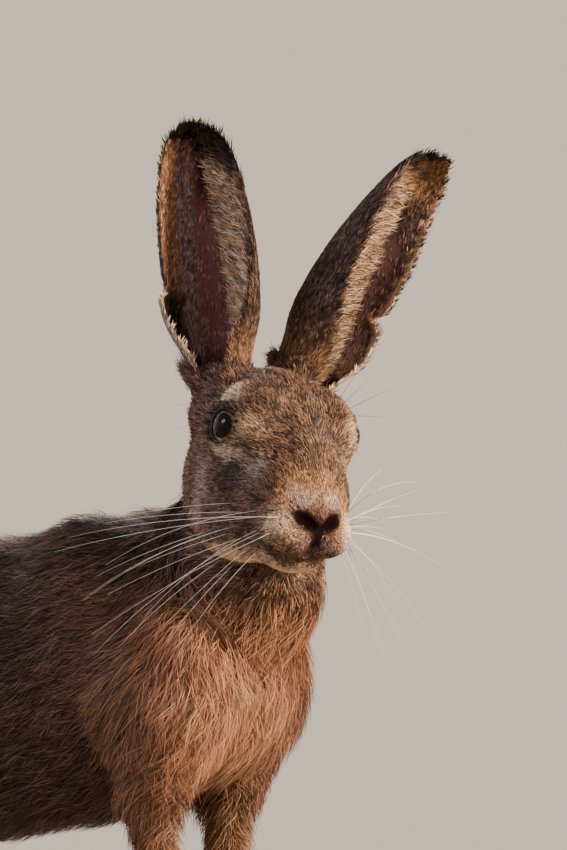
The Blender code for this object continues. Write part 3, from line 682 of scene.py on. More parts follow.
def coat_markings(points, normals):
    """The colour of the hair low down, its colour near the tip, and the shares of dark and pale tips."""
    count = len(points)
    x, y, z = points.T
    up = normals[:, 2]
    local = head_local(points)
    patch = waves(points, 34, 11)
    coat = mixed(plain(UMBER, count), BROWN, 0.25 + 0.6 * patch)
    dark = np.full(count, 0.45)
    pale = np.full(count, 0.16)

    def lay(colour, share, dark_share, pale_share):
        nonlocal coat, dark, pale
        coat = mixed(coat, colour, share)
        dark = dark + (dark_share - dark) * share
        pale = pale + (pale_share - pale) * share

    flank = smooth(up, 0.5, -0.15)
    lay(np.array(RUFOUS) * 0.26 + np.array(GREY) * 0.1, 0.75 * flank * waves(points, 40, 13), 0.4, 0.2)
    shoulder = smooth(y, 25, -35) * smooth(up, 0.75, 0.3)
    lay(np.array(RUFOUS) * 0.33 + np.array(TAN) * 0.1, 0.85 * shoulder, 0.34, 0.26)
    front = smooth(y + 0.25 * x, -34, -74) * smooth(up, 0.8, 0.4)
    lay(np.array(RUFOUS) * 0.55 + np.array(SALMON) * 0.25, 0.92 * front, 0.1, 0.4)
    lay(np.array(RUFOUS) * 0.8, 0.45 * front * waves(points, 30, 12), 0.12, 0.3)
    lay(np.array(BROWN) * 1.3, 0.7 * front * smooth(waves(points, 11, 14), 0.5, 0.8), 0.3, 0.2)
    throat = near_spot(points, (-30, -88, 232), (36, 40, 26))
    lay(GOLD, 0.75 * throat, 0.2, 0.3)
    neck = smooth(z, 215, 250) * smooth(y, -75, -45)
    lay(np.array(BROWN) * 0.9, 0.8 * neck, 0.45, 0.2)
    lay(np.array(TAN) * 0.45 + np.array(RUFOUS) * 0.3, smooth(z, 130, 90) * smooth(y, 40, 10), 0.12, 0.3)
    lay(np.array(BUFF) * 0.9, smooth(y, 60, 110) * smooth(z, 60, 25) * 0.6, 0.06, 0.3)
    belly = smooth(up, -0.66, -0.92) * smooth(y, 62, 120) * smooth(y, 275, 240)
    lay(WHITE, belly, 0.0, 0.1)
    inside = smooth(np.abs(x), 34, 16) * smooth(z, 135, 100) * smooth(y, 90, 130)
    lay(WHITE, 0.9 * inside, 0.0, 0.1)
    tail = smooth(y, 266, 284)
    lay(WHITE, tail, 0.0, 0.0)
    lay(BLACK, tail * smooth(normals[:, 1] + 0.5 * up, 0.25, 0.6), 0.0, 0.0)

    head = head_share(points)
    warp = [waves(points, 9, seed) - 0.5 for seed in (51, 52, 53)]
    flat = mirrored(local) + 3.5 * np.stack(warp, -1)
    lx, ly, lz = flat.T
    mottle = waves(points, 7, 54)
    lay(np.array(BROWN) * 0.55 + np.array(TAN) * 0.28, head, 0.46, 0.34)
    lay(np.array(BROWN) * 0.6, 0.7 * head * smooth(mottle, 0.5, 0.7), 0.62, 0.2)
    crown = head * smooth(lz, -2, 17) * smooth(ly, -20, 4)
    lay(np.array(BROWN) * 0.75 + np.array(RUFOUS) * 0.12, 0.85 * crown, 0.58, 0.3)
    cheek = head * smooth(lx, 14, 24) * smooth(lz, -8, -22) * smooth(ly, -24, -10)
    lay(np.array(BROWN) * 1.15, 0.7 * cheek, 0.35, 0.25)

    def spot(colour, centre, radii, strength, dark_share, pale_share):
        away = np.linalg.norm((flat - np.array(centre)) / np.array(radii), axis=1)
        lay(colour, head * strength * smooth(away, 1.15, 0.3), dark_share, pale_share)

    spot(UMBER, (26, -9, -20), (10, 12, 13), 0.85, 0.4, 0.14)
    spot(UMBER, (20, -20, -3), (6, 5, 5), 0.6, 0.4, 0.14)
    spot(BUFF, (24, -15, 3.5), (8, 9, 9), 0.7, 0.12, 0.4)
    spot(SILVER, (19.5, -21, -14), (5.5, 7, 11), 0.6, 0.2, 0.4)
    spot(np.array(BUFF) * 1.3, (25, 5, 14.5), (8.5, 13, 6.5), 0.95, 0.03, 0.4)
    spot(np.array(CREAM) * 0.75, (28, -8, -9.5), (9, 12, 5), 0.8, 0.08, 0.4)
    spot(GOLD, (6, -36, -18), (12, 10, 12), 0.75, 0.25, 0.3)
    spot(np.array(BROWN) * 0.9, (15, -28, -20), (6, 8, 8), 0.5, 0.45, 0.25)
    spot(GOLD, (15, -36, -23), (6, 7, 7), 0.7, 0.1, 0.3)
    spot(SILVER, (8, -39, -22), (6, 6, 4.5), 0.75, 0.05, 0.4)
    spot(np.array(CREAM) * (0.9, 0.78, 0.68), (15.5, -39, -34), (9, 9, 9), 0.8, 0.05, 0.35)
    spot(np.array(BROWN) * 1.5, (20, -26, -34), (7, 9, 9), 0.45, 0.3, 0.3)
    spot(np.array(CREAM) * (0.95, 0.83, 0.7), (17, -12, -52), (15, 24, 9), 0.85, 0.04, 0.35)
    spot(np.array(CREAM) * (0.95, 0.8, 0.68), (0, -31, -56), (19, 18, 7.5), 0.95, 0.0, 0.3)
    spot(SILVER, (30, 10, -32), (5, 8, 20), 0.55, 0.1, 0.4)
    spot(np.array(GREY) * (1.7, 1.25, 1.2), (5.5, -45.5, -41), (6.5, 6, 6.5), 0.75, 0.1, 0.3)
    spot((0.040, 0.016, 0.016), (0, -45.5, -37), (3.6, 5, 8), 0.9, 0.1, 0.0)
    # Painted shade: a dark band along the line of the mouth.
    spot(np.array(UMBER) * 0.8, (2, -40, -48), (8, 6, 3.4), 0.85, 0.1, 0.0)
    cleft = limb(local, CLEFT)
    nostrils = both_sides(local, NOSTRIL)
    mouth = both_sides(local, MOUTH)
    lay((0.019, 0.0085, 0.0085), head * smooth(np.minimum(cleft, nostrils), 2.2, 0.7), 0.2, 0.0)
    # Painted shade: near black inside the nostrils and the mouth's opening, for the dark of the holes.
    aside = 3 * smooth(np.abs(local[:, 0]), 5, 10)
    lay((0.006, 0.0027, 0.0027), head * smooth(np.minimum(nostrils + 0.3, mouth + aside), 1.2, 0.0), 0.0, 0.0)
    rims = np.zeros(count)
    for sign, flip in ((1, local), (-1, flipped(local))):
        out = np.linalg.norm(flip - np.array(EYE_AT, np.float32), axis=1) < 15
        rims = np.maximum(rims, out * smooth(eye_opening(local, sign), 2.0, 0.8))
    lay(BLACK, head * rims, 0.0, 0.0)
    # On the muzzle and the chest the hairs are nearly as pale at their roots, with less painted shade low in the
    # coat.
    soft = np.maximum(0.9 * head * near_spot(local, (0, -44, -41), (32, 24, 28)), 0.45 * front * (1 - head))
    deep = mixed(coat * 0.38, np.array(GREY) * 0.45, np.full(count, 0.3))
    return mixed(deep, coat * 0.8, soft), coat, dark, pale


# The ears' coat. Medial runs from -1 at the outer rim to 1 at the rim by the other ear.


def ear_colours(points, ear, share, medial, inside):
    """The ear's colours. The lock band starts at ear["locks"] and the ear darkens from ear["dark"] up."""
    count = len(share)
    patch = waves(points, 14, 21)
    ragged = medial + 0.16 * (waves(points, 5, 22) - 0.5)
    top = share + 0.05 * (waves(points, 7, 23) - 0.5)
    low = smooth(share, 0.28, 0.1)
    back = mixed(plain(UMBER, count), BROWN, 0.25 + 0.6 * patch)
    back = mixed(back, np.array(TAN) * 0.8, 0.6 * low)
    # Painted sheen: grey over the outer half of the ear's back, up from a quarter of its length.
    back = mixed(back, GREY, 0.5 * smooth(medial, 0.1, -0.5) * smooth(share, 0.25, 0.45))
    back = mixed(back, BLACK, smooth(top, 0.78, 0.88))
    back = mixed(back, CREAM, 0.8 * smooth(medial, -0.84, -0.94) * smooth(share, 0.42, 0.36))
    locks = ear_locks(ear, share)
    hollow = mixed(plain(ear["hollow"], count), UMBER, 0.35 + 0.3 * patch)
    hollow = mixed(hollow, np.array(ear["hollow"]) * 1.2, 0.8 * smooth(np.abs(medial - locks + 0.3), 0.3, 0.1))
    hollow = mixed(hollow, np.array(UMBER) * 0.8, 0.9 * smooth(share, 0.62, 0.8) * smooth(medial, locks - 0.5, locks - 0.2))
    hollow = mixed(hollow, MAROON, smooth(share, 0.22, 0.08))
    fine = smooth(ragged, locks - 0.32, locks - 0.5) * smooth(share, 0.95, 0.8)
    hollow = mixed(hollow, np.array(ear["fine"]), 0.85 * fine)
    band = smooth(ragged, ear["rim"] + 0.14, ear["rim"])
    hollow = mixed(hollow, ear["band"], band)
    hollow = mixed(hollow, np.array(UMBER) * 1.3, band * smooth(share, 0.40, 0.36))
    hollow = mixed(hollow, CREAM, 0.9 * smooth(medial, -0.92, -0.97) * smooth(share, 0.42, 0.36))
    hollow = mixed(hollow, BLACK, 0.9 * smooth(medial, -0.92, -0.98) * smooth(share, 0.38, 0.44) * ear["edge"])
    fringe = smooth(ragged, locks - 0.1, locks + 0.1)
    tint = mixed(plain(np.array(TAN) * 1.1, count), np.array(CREAM) * 0.9, ear["cream"] + 0.5 * waves(points, 6, 24))
    hollow = mixed(hollow, tint, fringe)
    hollow = mixed(hollow, np.array(BROWN) * 1.3, 0.6 * fringe * smooth(waves(points, 5, 25), 0.5, 0.7))
    hollow = mixed(hollow, np.array(BROWN) * 1.1, 0.85 * smooth(medial, 0.84, 0.98))
    hollow = mixed(hollow, np.array(TAN) * 0.9, 0.8 * smooth(top, 0.8, 0.88) * (1 - ear["edge"]))
    dusk = smooth(top + 0.13 * np.clip(medial, -0.4, 1), ear["dark"], ear["dark"] + 0.07)
    hollow = mixed(hollow, np.array(BLACK) * 1.6, 0.95 * dusk)
    dark = np.where(inside, 0.24 + 0.16 * smooth(np.abs(medial), 0.5, 0.75), 0.42)
    pale = np.where(inside, 0.3, 0.24)
    return np.where(inside[:, None], hollow, back), dark, pale


def ear_locks(ear, share):
    """How far across the ear its band of locks reaches."""
    return np.interp(share, (0.1, 0.3, 0.55, 0.75, 0.9), ear["locks"])


def ear_fold(ear, share, medial, inside):
    """The share of the long locks that hang from the inner rim into the hollow."""
    locks = ear_locks(ear, share)
    return smooth(medial, locks - 0.1, locks + 0.12) * smooth(share, 0.97, 0.85) * inside


def ear_lie(ear, share, medial, inside, along, toward):
    fold = ear_fold(ear, share, medial, inside)
    lie = along + toward * (0.25 * inside * (1 - fold))[:, None]
    lie = lie * (1 - fold)[:, None] + (along * 0.6 - toward * 0.8) * fold[:, None]
    rim = smooth(np.abs(medial), 0.9, 0.98) * np.sign(medial)
    return unit(lie + toward * (0.9 * rim)[:, None])


def ear_size(ear, share, medial, inside):
    fold = ear_fold(ear, share, medial, inside)
    length = np.where(inside, 3.0, 3.8) + 4.4 * fold + 1.6 * smooth(share, 0.86, 0.96)
    width = 0.26 + 0.014 * length
    height = (0.16 + 0.14 * fold) * length
    return length, width, height, 0.16 * length, 0.06 + 0.1 * fold


def ear_density(ear, share, medial, inside):
    middle = ear_locks(ear, share) - 0.26
    bare = smooth(np.abs(medial - middle), 0.22, 0.1) * smooth(share, 0.85, 0.7)
    return 1 - 0.75 * inside * bare


# An unwrap of the skin: one flat chart for each part of the body and each of the six ways it can face.

CHART_SCALE = {"head": 1.8, "ear_left": 1.5, "ear_right": 1.5}
CHART_AXES = ((1, 2), (0, 2), (0, 1))
CHART_MARGIN = 6.0


def facing(normals):
    axis = np.argmax(np.abs(normals), axis=1)
    return axis * 2 + (normals[np.arange(len(normals)), axis] < 0)


def chart_layout(points, parts):
    """Where each chart's corner lies in the unit square, and the scale from millimetres."""
    charts = []
    for number, part in enumerate(PARTS):
        own = points[parts == number]
        for way in range(6):
            axes = list(CHART_AXES[way // 2])
            low = own[:, axes].min(0) - CHART_MARGIN
            size = (own[:, axes].max(0) + CHART_MARGIN - low) * CHART_SCALE.get(part, 1.0)
            charts.append((size[1], size[0], number * 6 + way, low))
    charts.sort(key=lambda chart: -chart[0])
    width = math.sqrt(sum(high * wide for high, wide, _, _ in charts))
    while True:
        corners = {}
        across, up, shelf = 0.0, 0.0, 0.0
        for high, wide, key, low in charts:
            if across + wide > width:
                across, up, shelf = 0.0, up + shelf, 0.0
            corners[key] = (across, up, *low)
            across += wide
            shelf = max(shelf, high)
        if up + shelf <= width:
            break
        width *= 1.01
    table = np.array([corners[key] for key in range(6 * len(PARTS))])
    scales = np.array([CHART_SCALE.get(part, 1.0) for part in PARTS])
    return table, scales, width


def unwrap(layout, points, normals, parts):
    """Each point's place on the unwrap, by the part it belongs to and the way it faces."""
    table, scales, width = layout
    way = facing(normals)
    corner = table[parts * 6 + way]
    axes = np.array(CHART_AXES)[way // 2]
    rows = np.arange(len(points))
    flat = np.stack([points[rows, axes[:, 0]], points[rows, axes[:, 1]]], -1)
    return ((flat - corner[:, 2:]) * scales[parts][:, None] + corner[:, :2]) / width


def set_unwrap(mesh, uv):
    layer = mesh.uv_layers.new(name="OFBake")
    layer.uv.foreach_set("vector", uv.astype(np.float32).ravel())


def set_colour(mesh, name, colours):
    layer = mesh.color_attributes.new(name, "FLOAT_COLOR", "POINT")
    full = np.ones((len(colours), 4), np.float32)
    full[:, :3] = colours
    layer.data.foreach_set("color", full.ravel())


# The guide tells how high any point is over the skin and which way is out, on a coarse grid.

GUIDE_STEP = 4.0


class Guide:
    def __init__(self):
        self.low = np.array(WHOLE_BOX[0], np.float32) - 24
        high = np.array(WHOLE_BOX[1], np.float32) + 24
        high[2] = 350
        axes = [np.arange(a, b, GUIDE_STEP, dtype=np.float32) for a, b in zip(self.low, high)]
        grid = np.stack(np.meshgrid(*axes, indexing="ij"), -1).reshape(-1, 3)
        values = np.concatenate([skin_field(chunk) for chunk in np.array_split(grid, 4)])
        self.values = values.reshape([len(axis) for axis in axes])
        self.ways = np.stack(np.gradient(self.values, GUIDE_STEP), -1)

    def at(self, points):
        """The height over the skin and the way out at each point."""
        place = (points - self.low) / GUIDE_STEP
        most = np.array(self.values.shape) - 2
        corner = np.clip(np.floor(place).astype(int), 0, most)
        share = np.clip(place - corner, 0, 1)
        height = np.zeros(len(points))
        way = np.zeros((len(points), 3))
        for step in np.ndindex(2, 2, 2):
            weight = np.prod(np.where(step, share, 1 - share), axis=1)
            i, j, k = (corner + step).T
            height += weight * self.values[i, j, k]
            way += weight[:, None] * self.ways[i, j, k]
        return height, unit(way)


# Tufts: each is a few tapering hairs that spring from round one root and lean together.


class Hair:
    """The make of one hair: stations along it, its width at each but the last, and its faces."""

    def __init__(self, stations, shape, shades):
        self.stations = np.array(stations)
        self.shape = np.array(shape)
        self.shades = shades
        tip = 2 * len(shape)
        faces = []
        for k in range(0, tip - 2, 2):
            faces += [(k, k + 1, k + 3), (k, k + 3, k + 2)]
        self.faces = np.array(faces + [(tip - 2, tip - 1, tip)])
        self.corners = tip + 1
        self.station_of = np.array([k // 2 for k in range(tip + 1)])


# The shades are read from four: at the root, half way, near the tip and at the tip.
LONG_HAIR = Hair([0.0, 0.4, 0.75, 1.0], [0.75, 1.0, 0.7], [0, 1, 2, 3])
SHORT_HAIR = Hair([0.0, 0.55, 1.0], [0.8, 1.0], [0, 2, 3])
PATCH = 0.0028
PIECE_LIMIT = 190000
GUARD_SHARE = 0.05
GUARD_LENGTH = 1.3
# No hair reaches lower than this.
HAIR_FLOOR = 0.15


def tufts(kind, roots, outs, lie, sizes, hairs, draw, guide=None, gather=0.3, splay=0.27):
    """The corner points of every hair."""
    length, width, height, spread, curl = (np.repeat(size, hairs) for size in sizes)
    count = len(length)
    root = np.repeat(roots, hairs, axis=0)
    out = np.repeat(outs, hairs, axis=0)
    along = np.repeat(lie, hairs, axis=0)
    across = np.cross(out, along)
    disc = draw.normal(size=(count, 2)) * 0.6
    offset = (across * disc[:, :1] + along * disc[:, 1:]) * spread[:, None]
    guard = draw.random(count) < GUARD_SHARE
    stretch = length * draw.uniform(0.72, 1.12, count) * np.where(guard, GUARD_LENGTH, 1.0)
    lean = across * (draw.normal(size=count) * splay)[:, None]
    way = unit(along + lean)
    bend = np.repeat(draw.normal(size=len(roots)), hairs) + 0.6 * draw.normal(size=count)
    bend = bend * curl * stretch
    rise = height * draw.uniform(0.45, 1.2, count) * np.where(guard, 1.15, 1.0)
    side = unit(np.cross(way, out) + out * (draw.normal(size=count) * 0.35)[:, None])
    middles = []
    for station in kind.stations:
        closer = 1 - gather * station
        place = root + offset * closer + way * (stretch * station)[:, None] + across * (bend * station**2)[:, None]
        over = rise * (1 - (1 - station) ** 2) - np.minimum(0.4, 0.3 * rise)
        if guide is None:
            place = place + out * over[:, None]
        else:
            high, away = guide.at(place)
            place = place + away * (over - high)[:, None]
        middles.append(place)
    points = []
    for middle, shape in zip(middles, kind.shape):
        half = side * (width * shape / 2)[:, None]
        points += [middle - half, middle + half]
    points.append(middles[-1])
    points = np.stack(points, 1)
    points[..., 2] = np.maximum(points[..., 2], HAIR_FLOOR)
    return points


def tuft_colours(kind, deep, coat, dark, pale, hairs, draw):
    """Each hair's colours from root to tip, some with dark or pale tips as a wild coat has."""
    tuft_count = len(deep)
    count = tuft_count * hairs
    deep, coat = (np.repeat(part, hairs, axis=0) for part in (deep, coat))
    dark, pale = (np.repeat(part, hairs) for part in (dark, pale))
    shade = draw.normal(size=count) * 0.17 + np.repeat(draw.normal(size=tuft_count) * 0.14, hairs)
    shade = np.exp(shade)[:, None]
    # Most hairs of a tuft have the same kind of tip.
    chance = np.repeat(draw.random(tuft_count), hairs)
    own = draw.random(count)
    chance = np.where(draw.random(count) < 0.3, own, chance)
    is_dark = (chance < dark)[:, None]
    is_pale = ((chance >= dark) & (chance < dark + pale))[:, None]
    tip = np.where(is_dark, np.array(BLACK) * 1.5, np.where(is_pale, coat * 1.35 + (0.10, 0.065, 0.042), coat))
    upper = np.where(is_dark, coat * 0.3, np.where(is_pale, coat * 1.15 + (0.03, 0.02, 0.012), coat))
    # The root and half-way rows are darker than the hair's own colours. Part of this is the underfur's real dark,
    # and part is painted shade deep in the coat.
    rows = [deep * 0.7, deep * 0.45 + coat * 0.5, upper, tip]
    rows = [rows[k] * shade for k in kind.shades]
    return np.clip(np.stack(rows, 1)[:, kind.station_of], 0, 1)


def add_hairs(name, kind, corners, colours, uv, material):
    """Joins hairs into pieces that each stay under the limit on triangles."""
    most = PIECE_LIMIT // len(kind.faces)
    pieces = math.ceil(len(corners) / most)
    for number, chosen in enumerate(np.array_split(np.arange(len(corners)), pieces)):
        points = corners[chosen].reshape(-1, 3)
        faces = (np.arange(len(chosen))[:, None, None] * kind.corners + kind.faces).reshape(-1, 3)
        full_name = name if pieces == 1 else f"{name}_{number + 1}"
        mesh = mesh_from(full_name, points, faces)
        set_colour(mesh, "coat", colours[chosen].reshape(-1, 3))
        set_unwrap(mesh, uv[chosen].reshape(-1, 2)[faces.ravel()])
        mesh.materials.append(material)
        obj = link(full_name, mesh)
        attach(obj, "root")


def tuft_patches(kind, centres, hairs):
    """A small patch of the unwrap for each tuft, with its hairs side by side and their length along it."""
    count = len(centres) * hairs
    middle = np.repeat(centres, hairs, axis=0)[:, None]
    place = (np.tile(np.arange(hairs), len(centres)) + 0.5) / hairs - 0.5
    wide = [0.4 * shape for shape in kind.shape for _ in range(2)] + [0.0]
    ways = np.array([-1, 1] * len(kind.shape) + [0])
    across = place[:, None] + np.array(wide) * ways / hairs
    along = np.broadcast_to(kind.stations[kind.station_of] - 0.5, (count, kind.corners))
    return middle + np.stack([across, along], -1) * PATCH


def sample(points, faces, normals, weight, draw):
    """Places spread over the skin, as many in each face as its area and weight ask."""
    corners = points[faces]
    area = np.linalg.norm(np.cross(corners[:, 1] - corners[:, 0], corners[:, 2] - corners[:, 0]), axis=1) / 2
    wanted = area * weight[faces].mean(1)
    number = draw.poisson(wanted)
    chosen = np.repeat(np.arange(len(faces)), number)
    a, b = draw.random((2, len(chosen)))
    over = a + b > 1
    a[over], b[over] = 1 - a[over], 1 - b[over]
    shares = np.stack([1 - a - b, a, b], -1)[:, :, None]
    return (corners[chosen] * shares).sum(1), unit((normals[faces[chosen]] * shares).sum(1))


# Materials. Fixed numbers are set on the shader itself, and nodes give what varies.


def new_material(name, roughness, **settings):
    material = bpy.data.materials.new(name)
    material.use_nodes = True
    tree = material.node_tree
    shader = tree.nodes["Principled BSDF"]
    shader.inputs["Roughness"].default_value = roughness
    for socket, value in settings.items():
        shader.inputs[socket.replace("_", " ")].default_value = value
    return material, tree, shader


def object_noise(tree, size, detail=4.0, stretch=(1, 1, 1)):
    """A noise pattern in the object's own space with features about as large as size, in metres."""
    place = tree.nodes.new("ShaderNodeTexCoord")
    scale = tree.nodes.new("ShaderNodeMapping")
    scale.inputs["Scale"].default_value = stretch
    noise = tree.nodes.new("ShaderNodeTexNoise")
    noise.inputs["Scale"].default_value = 1 / size
    noise.inputs["Detail"].default_value = detail
    tree.links.new(place.outputs["Object"], scale.inputs["Vector"])
    tree.links.new(scale.outputs["Vector"], noise.inputs["Vector"])
    return noise


def remapped(tree, source, low, high):
    spread = tree.nodes.new("ShaderNodeMapRange")
    spread.inputs["To Min"].default_value = low
    spread.inputs["To Max"].default_value = high
    tree.links.new(source, spread.inputs["Value"])
    return spread.outputs["Result"]


def painted(tree, shader, brightness):
    """The surface's own painted colour, made lighter and darker by a pattern."""
    paint = tree.nodes.new("ShaderNodeAttribute")
    paint.attribute_name = "coat"
    mix = tree.nodes.new("ShaderNodeVectorMath")
    mix.operation = "SCALE"
    tree.links.new(paint.outputs["Color"], mix.inputs[0])
    tree.links.new(brightness, mix.inputs["Scale"])
    tree.links.new(mix.outputs["Vector"], shader.inputs["Base Color"])


def bumped(tree, shader, source, distance):
    bump = tree.nodes.new("ShaderNodeBump")
    bump.inputs["Distance"].default_value = distance
    tree.links.new(source, bump.inputs["Height"])
    tree.links.new(bump.outputs["Normal"], shader.inputs["Normal"])


def painted_material(name, roughness, grain, low, high, bump, **settings):
    """A material that shows its mesh's painted colours through a fine grain."""
    material, tree, shader = new_material(name, roughness, **settings)
    fine = object_noise(tree, grain, 6.0)
    painted(tree, shader, remapped(tree, fine.outputs["Fac"], low, high))
    bumped(tree, shader, fine.outputs["Fac"], bump)
    return material


FUR = painted_material(
    "fur", 0.55, 0.0012, 0.72, 1.28, 0.0001, Specular_IOR_Level=0.14, Sheen_Weight=0.06, Sheen_Roughness=0.4
)
SKIN = painted_material("skin", 0.7, 0.0009, 0.6, 1.3, 0.0003, Specular_IOR_Level=0.0)
WET = painted_material("wet_skin", 0.35, 0.0005, 0.8, 1.2, 0.00005, Specular_IOR_Level=0.15)
WHISKER = painted_material("whisker", 0.4, 0.002, 0.9, 1.1, 0.00002, Specular_IOR_Level=0.5)
HORN = painted_material("horn", 0.38, 0.0006, 0.5, 1.5, 0.00008, Specular_IOR_Level=0.5)
EYE = painted_material("wet_eye", 0.03, 0.0005, 0.8, 1.2, 0.000002, Specular_IOR_Level=0.16)


# The skin.

SKIN_SHARE = 0.42


def grid_normals(mesh):
    normals = np.zeros(len(mesh.vertices) * 3, np.float32)
    mesh.vertex_normals.foreach_get("vector", normals)
    return normals.reshape(-1, 3)


def mesh_points(mesh):
    points = np.zeros(len(mesh.vertices) * 3, np.float32)
    mesh.vertices.foreach_get("co", points)
    return points.reshape(-1, 3) / MM + np.array(MIDDLE, np.float32)


def mesh_faces(mesh):
    faces = np.zeros(len(mesh.loops), np.int32)
    mesh.loops.foreach_get("vertex_index", faces)
    return faces.reshape(-1, 3)


def thinned(mesh, share):
    obj = link("thinning", mesh)
    step = obj.modifiers.new("thin", "DECIMATE")
    step.ratio = share
    obj.modifiers.new("split", "TRIANGULATE")
    graph = bpy.context.evaluated_depsgraph_get()
    thin = bpy.data.meshes.new_from_object(obj.evaluated_get(graph))
    bpy.data.objects.remove(obj, do_unlink=True)
    return thin


def make_skin():
    points, quads = skin_mesh()
    mesh = thinned(mesh_from("skin", points, quads), SKIN_SHARE)
    points, normals, faces = mesh_points(mesh), grid_normals(mesh), mesh_faces(mesh)
    parts, on_ear = parts_of(points)
    deep, coat, _, _ = coat_markings(points, normals)
    local = head_local(points)
    bare = np.maximum(near_spot(local, NOSE, (15, 12, 17)), smooth(openings(local), 2.6, 1.0))
    # Under the coat the skin is painted the underfur's colour, darkened as painted shade under the hair. Bare skin
    # is lighter.
    paint = mixed(deep * 0.6 + coat * 0.25, coat * 0.8, bare)
    ear_cover = np.ones(len(points))
    for name, (chosen, share, medial, outward) in on_ear.items():
        inside = np.sum(normals[chosen] * outward, axis=1) < 0
        coat, _, _ = ear_colours(points[chosen], EARS[name], share, medial, inside)
        # The ears' skin is painted darker than their hair, as painted shade under the hair.
        paint[chosen] = coat * 0.6
        ear_cover[chosen] = ear_density(EARS[name], share, medial, inside)
    mesh.name = "skin"
    set_colour(mesh, "coat", paint)
    corners = points[faces]
    face_normals = unit(np.cross(corners[:, 1] - corners[:, 0], corners[:, 2] - corners[:, 0]))
    face_parts = parts[faces[:, 0]]
    layout = chart_layout(points, parts)
    uv = unwrap(layout, corners.reshape(-1, 3), np.repeat(face_normals, 3, 0), np.repeat(face_parts, 3))
    set_unwrap(mesh, uv)
    mesh.materials.clear()
    mesh.materials.append(SKIN)
    mesh.shade_smooth()
    skin = link("skin", mesh)
    flesh = [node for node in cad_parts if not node.startswith(("eye", "claw"))]
    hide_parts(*flesh)
    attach(skin, "root")
    return points, faces, normals, parts, layout, ear_cover


SKIN_POINTS, SKIN_FACES, SKIN_NORMALS, SKIN_PARTS, LAYOUT, EAR_COVER = make_skin()
GUIDE = Guide()


# The coat of the head, body, legs and tail: parts, slot, make of hair, hairs a tuft, tufts a square
# millimetre, and the seed of its draws.

HAIR_SHARE = 1.0
COAT_PIECES = {
    "fur_head": ("head", "face_coat", SHORT_HAIR, 4, 1.45, 31),
    "fur_body": ("trunk", "back_coat", SHORT_HAIR, 9, 0.165, 32),
    "fur_tail": ("tail", "tail_coat", SHORT_HAIR, 7, 0.3, 33),
    "fur_foreleg_left": ("foreleg_left", "leg_coat", SHORT_HAIR, 5, 0.55, 34),
    "fur_foreleg_right": ("foreleg_right", "leg_coat", SHORT_HAIR, 5, 0.55, 35),
    "fur_hindleg_left": ("hindleg_left", "leg_coat", SHORT_HAIR, 6, 0.15, 36),
    "fur_hindleg_right": ("hindleg_right", "leg_coat", SHORT_HAIR, 6, 0.15, 37),
}
# How far a tuft's colour may be taken from beside it, so that markings run into each other.
HEAD_STRAY = 0.8
BODY_STRAY = 4.0


def hair_density(points, local):
    """How thickly tufts stand at each point, as a share of its piece's own density."""
    head = head_share(points)
    muzzle = smooth(local[:, 1], -20, -36) * head
    eyes = smooth(np.linalg.norm(mirrored(local) - EYE_AT, axis=1), 24, 14)
    clear = np.minimum(eye_opening(local, 1), eye_opening(local, -1)) + 0.3
    clear = np.minimum(clear, openings(local) - 0.3)
    front = smooth(points[:, 1], 60, -20) * smooth(points[:, 2], 110, 150) * (1 - head)
    return (1 + 1.1 * muzzle + 0.5 * eyes + 0.7 * front) * smooth(clear, 0.5, 1.3)


def own_faces(part):
    own = SKIN_PARTS == PARTS.index(part)
    return SKIN_FACES[own[SKIN_FACES[:, 0]]]


def add_coat():
    density = hair_density(SKIN_POINTS, head_local(SKIN_POINTS))
    for name, (part, slot, kind, hairs, thick, seed) in COAT_PIECES.items():
        draw = np.random.default_rng(seed)
        roots, outs = sample(SKIN_POINTS, own_faces(part), SKIN_NORMALS, density * thick * HAIR_SHARE, draw)
        lie = lie_of(roots, outs)
        sizes = coat_size(roots, head_local(roots))
        head = head_share(roots)
        stray = draw.normal(size=roots.shape) * (HEAD_STRAY * head + BODY_STRAY * (1 - head))[:, None]
        markings = coat_markings((roots + stray).astype(np.float32), outs)
        guide = None if name == "fur_head" else GUIDE
        corners = tufts(kind, roots, outs, lie, sizes, hairs, draw, guide)
        colours = tuft_colours(kind, *markings, hairs, draw)
        number = np.full(len(roots), PARTS.index(part))
        uv = tuft_patches(kind, unwrap(LAYOUT, roots, outs, number), hairs)
        add_hairs(name, kind, corners, colours, uv, FUR)


EAR_HAIRS = 4
EAR_THICK = 0.70


def add_ear_coats():
    for seed, (part, ear) in enumerate(EARS.items(), 41):
        draw = np.random.default_rng(seed)
        weight = EAR_COVER * EAR_THICK * HAIR_SHARE
        roots, outs = sample(SKIN_POINTS, own_faces(part), SKIN_NORMALS, weight, draw)
        share, medial, _, outward, along, toward = ear_places(ear, roots)
        inside = np.sum(outs * outward, axis=1) < 0
        lie = ear_lie(ear, share, medial, inside, along, toward)
        lie = unit(lie - outs * np.sum(lie * outs, axis=1)[:, None])
        sizes = ear_size(ear, share, medial, inside)
        coat, dark, pale = ear_colours(roots.astype(np.float32), ear, share, medial, inside)
        corners = tufts(SHORT_HAIR, roots, outs, lie, sizes, EAR_HAIRS, draw, splay=0.16)
        colours = tuft_colours(SHORT_HAIR, coat * 0.6, coat, dark, pale, EAR_HAIRS, draw)
        number = np.full(len(roots), PARTS.index(part))
        uv = tuft_patches(SHORT_HAIR, unwrap(LAYOUT, roots, outs, number), EAR_HAIRS)
        add_hairs("fur_" + part, SHORT_HAIR, corners, colours, uv, FUR)


add_coat()
add_ear_coats()


# Tubes, for the whiskers, the rims of the lids and the claws.


